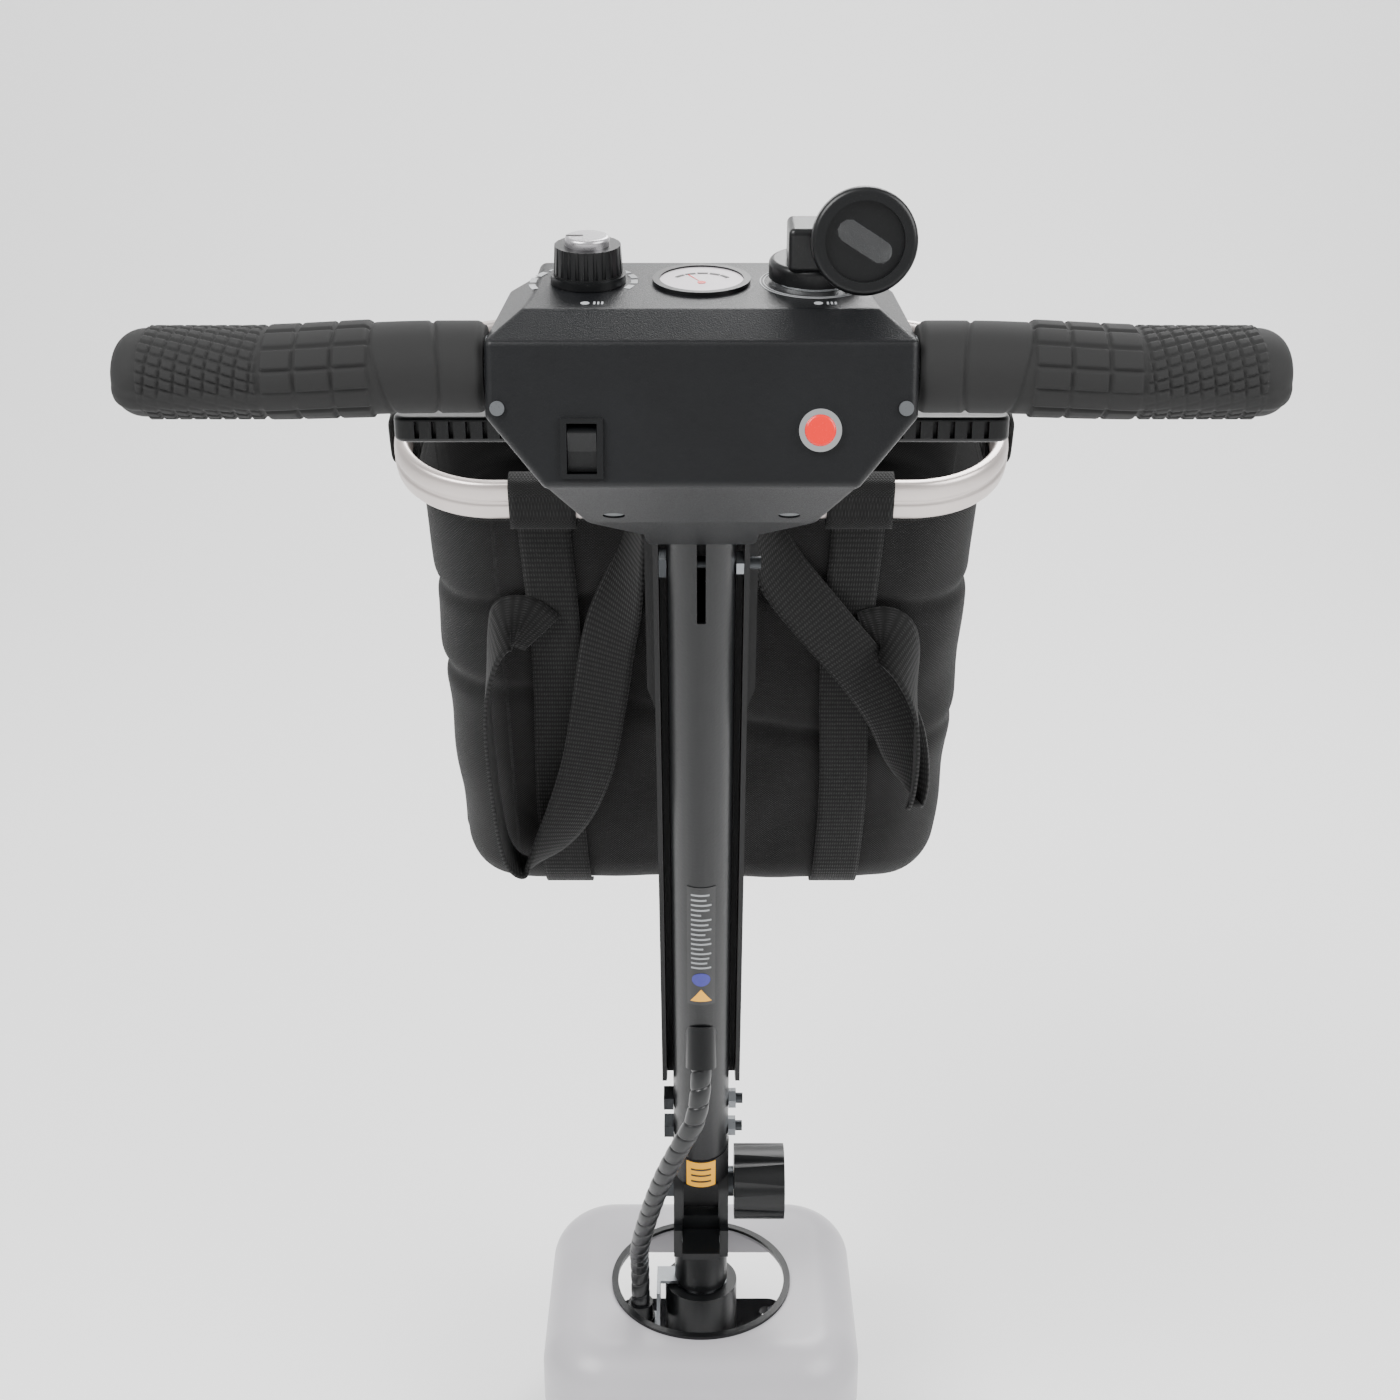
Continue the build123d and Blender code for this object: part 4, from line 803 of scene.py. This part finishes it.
class TILLER_OT_finishes(bpy.types.Operator):
    """Gives each rigid piece that keeps its own shape the material it is made of"""
    bl_idname = "tiller.finishes"
    bl_label = "Finishes"

    def execute(self, context):
        made = make_materials()
        for name, key in FINISH.items():
            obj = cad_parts[name]
            if not obj.material_slots:
                obj.data.materials.append(made[key])
            for held in obj.material_slots:
                held.material = made[key]
        return {"FINISHED"}


# ---- stage ---------------------------------------------------------------------------------------
FLOOR_DROP, FLOOR_HALF, FLOOR_BACK, FLOOR_BEND = 0.02, 4.0, 1.6, 0.8
# each lamp's name, place, aim, width in metres and power in watts
LAMPS = (("key_lamp", (-1.3, -1.2, 2.3), (0, -0.1, 0.55), 1.4, 80),
         ("fill_lamp", (1.6, -1.1, 1.6), (0, -0.1, 0.5), 1.4, 44),
         ("rim_lamp", (0.5, 1.5, 2.2), (0, 0, 0.5), 1.2, 52))
SKY = 0.75
CAMERA_AT, CAMERA_DOWN, LENS = (-0.0006, -0.9564, PIVOT_Z + 0.700), math.radians(22), 48.86


class TILLER_OT_stage(bpy.types.Operator):
    """A pale floor that curves up behind the object, three soft lamps, an even sky and the camera"""
    bl_idname = "tiller.stage"
    bl_label = "Stage"

    def execute(self, context):
        scene = context.scene
        low = CAD_BOX[0][2] - FLOOR_DROP
        bend = np.linspace(0, math.pi / 2, 24)[1:]
        y = np.concatenate([np.linspace(-FLOOR_HALF, FLOOR_BACK, 20), FLOOR_BACK + FLOOR_BEND * np.sin(bend),
                            np.full(8, FLOOR_BACK + FLOOR_BEND)])
        z = np.concatenate([np.zeros(20), FLOOR_BEND * (1 - np.cos(bend)), np.linspace(0.9, 4.0, 8)])
        x = np.linspace(-FLOOR_HALF, FLOOR_HALF, 4)
        points = np.stack(np.broadcast_arrays(x[None, :], y[:, None], low + z[:, None]), -1)
        sweep = grid_piece("floor_sweep", points, flip=True)
        sweep.data.materials.append(surface("pale_paper", "#fafafa", 0.9)[0])
        for name, place, aim, width, power in LAMPS:
            lamp = bpy.data.lights.new(name, "AREA")
            lamp.size, lamp.energy = width, power
            obj = bpy.data.objects.new(name, lamp)
            obj.location = place
            obj.rotation_euler = (Vector(aim) - Vector(place)).to_track_quat("-Z", "Y").to_euler()
            scene.collection.objects.link(obj)
        world = bpy.data.worlds.new("even_sky")
        world.use_nodes = True
        world.node_tree.nodes["Background"].inputs["Color"].default_value = (1, 1, 1, 1)
        world.node_tree.nodes["Background"].inputs["Strength"].default_value = SKY
        scene.world = world
        camera = bpy.data.cameras.new("camera")
        camera.sensor_width, camera.lens = 36.0, LENS
        camera.clip_end = 30
        obj = bpy.data.objects.new("camera", camera)
        obj.location = CAMERA_AT
        obj.rotation_euler = (math.pi / 2 - CAMERA_DOWN, 0, 0)
        scene.collection.objects.link(obj)
        scene.camera = obj
        return {"FINISHED"}


PARTS = (TILLER_OT_stage, TILLER_OT_harness, TILLER_OT_bag_frame, TILLER_OT_bag, TILLER_OT_straps,
         TILLER_OT_grips, TILLER_OT_marks)


class TILLER_PT_panel(bpy.types.Panel):
    """Lists the tiller's sizes and the operators that build it"""
    bl_idname = "TILLER_PT_panel"
    bl_label = "Scooter tiller"
    bl_space_type = "VIEW_3D"
    bl_region_type = "UI"
    bl_category = CATEGORY

    def draw(self, context):
        for group in (context.scene.tiller_sizes, context.scene.tiller_colours):
            for name in group.__annotations__:
                self.layout.prop(group, name)
        for part in (TILLER_OT_finishes,) + PARTS:
            self.layout.operator(part.bl_idname)


CLASSES = (TillerSizes, TillerColours, TILLER_OT_finishes) + PARTS + (TILLER_PT_panel,)


def register():
    for cls in CLASSES:
        bpy.utils.register_class(cls)
    bpy.types.Scene.tiller_sizes = bpy.props.PointerProperty(type=TillerSizes)
    bpy.types.Scene.tiller_colours = bpy.props.PointerProperty(type=TillerColours)


def unregister():
    del bpy.types.Scene.tiller_colours
    del bpy.types.Scene.tiller_sizes
    for cls in reversed(CLASSES):
        bpy.utils.unregister_class(cls)


def main():
    register()
    bpy.ops.tiller.finishes()
    for part in PARTS:
        category, name = part.bl_idname.split(".")
        getattr(getattr(bpy.ops, category), name)()


if __name__ == "__main__":
    main()
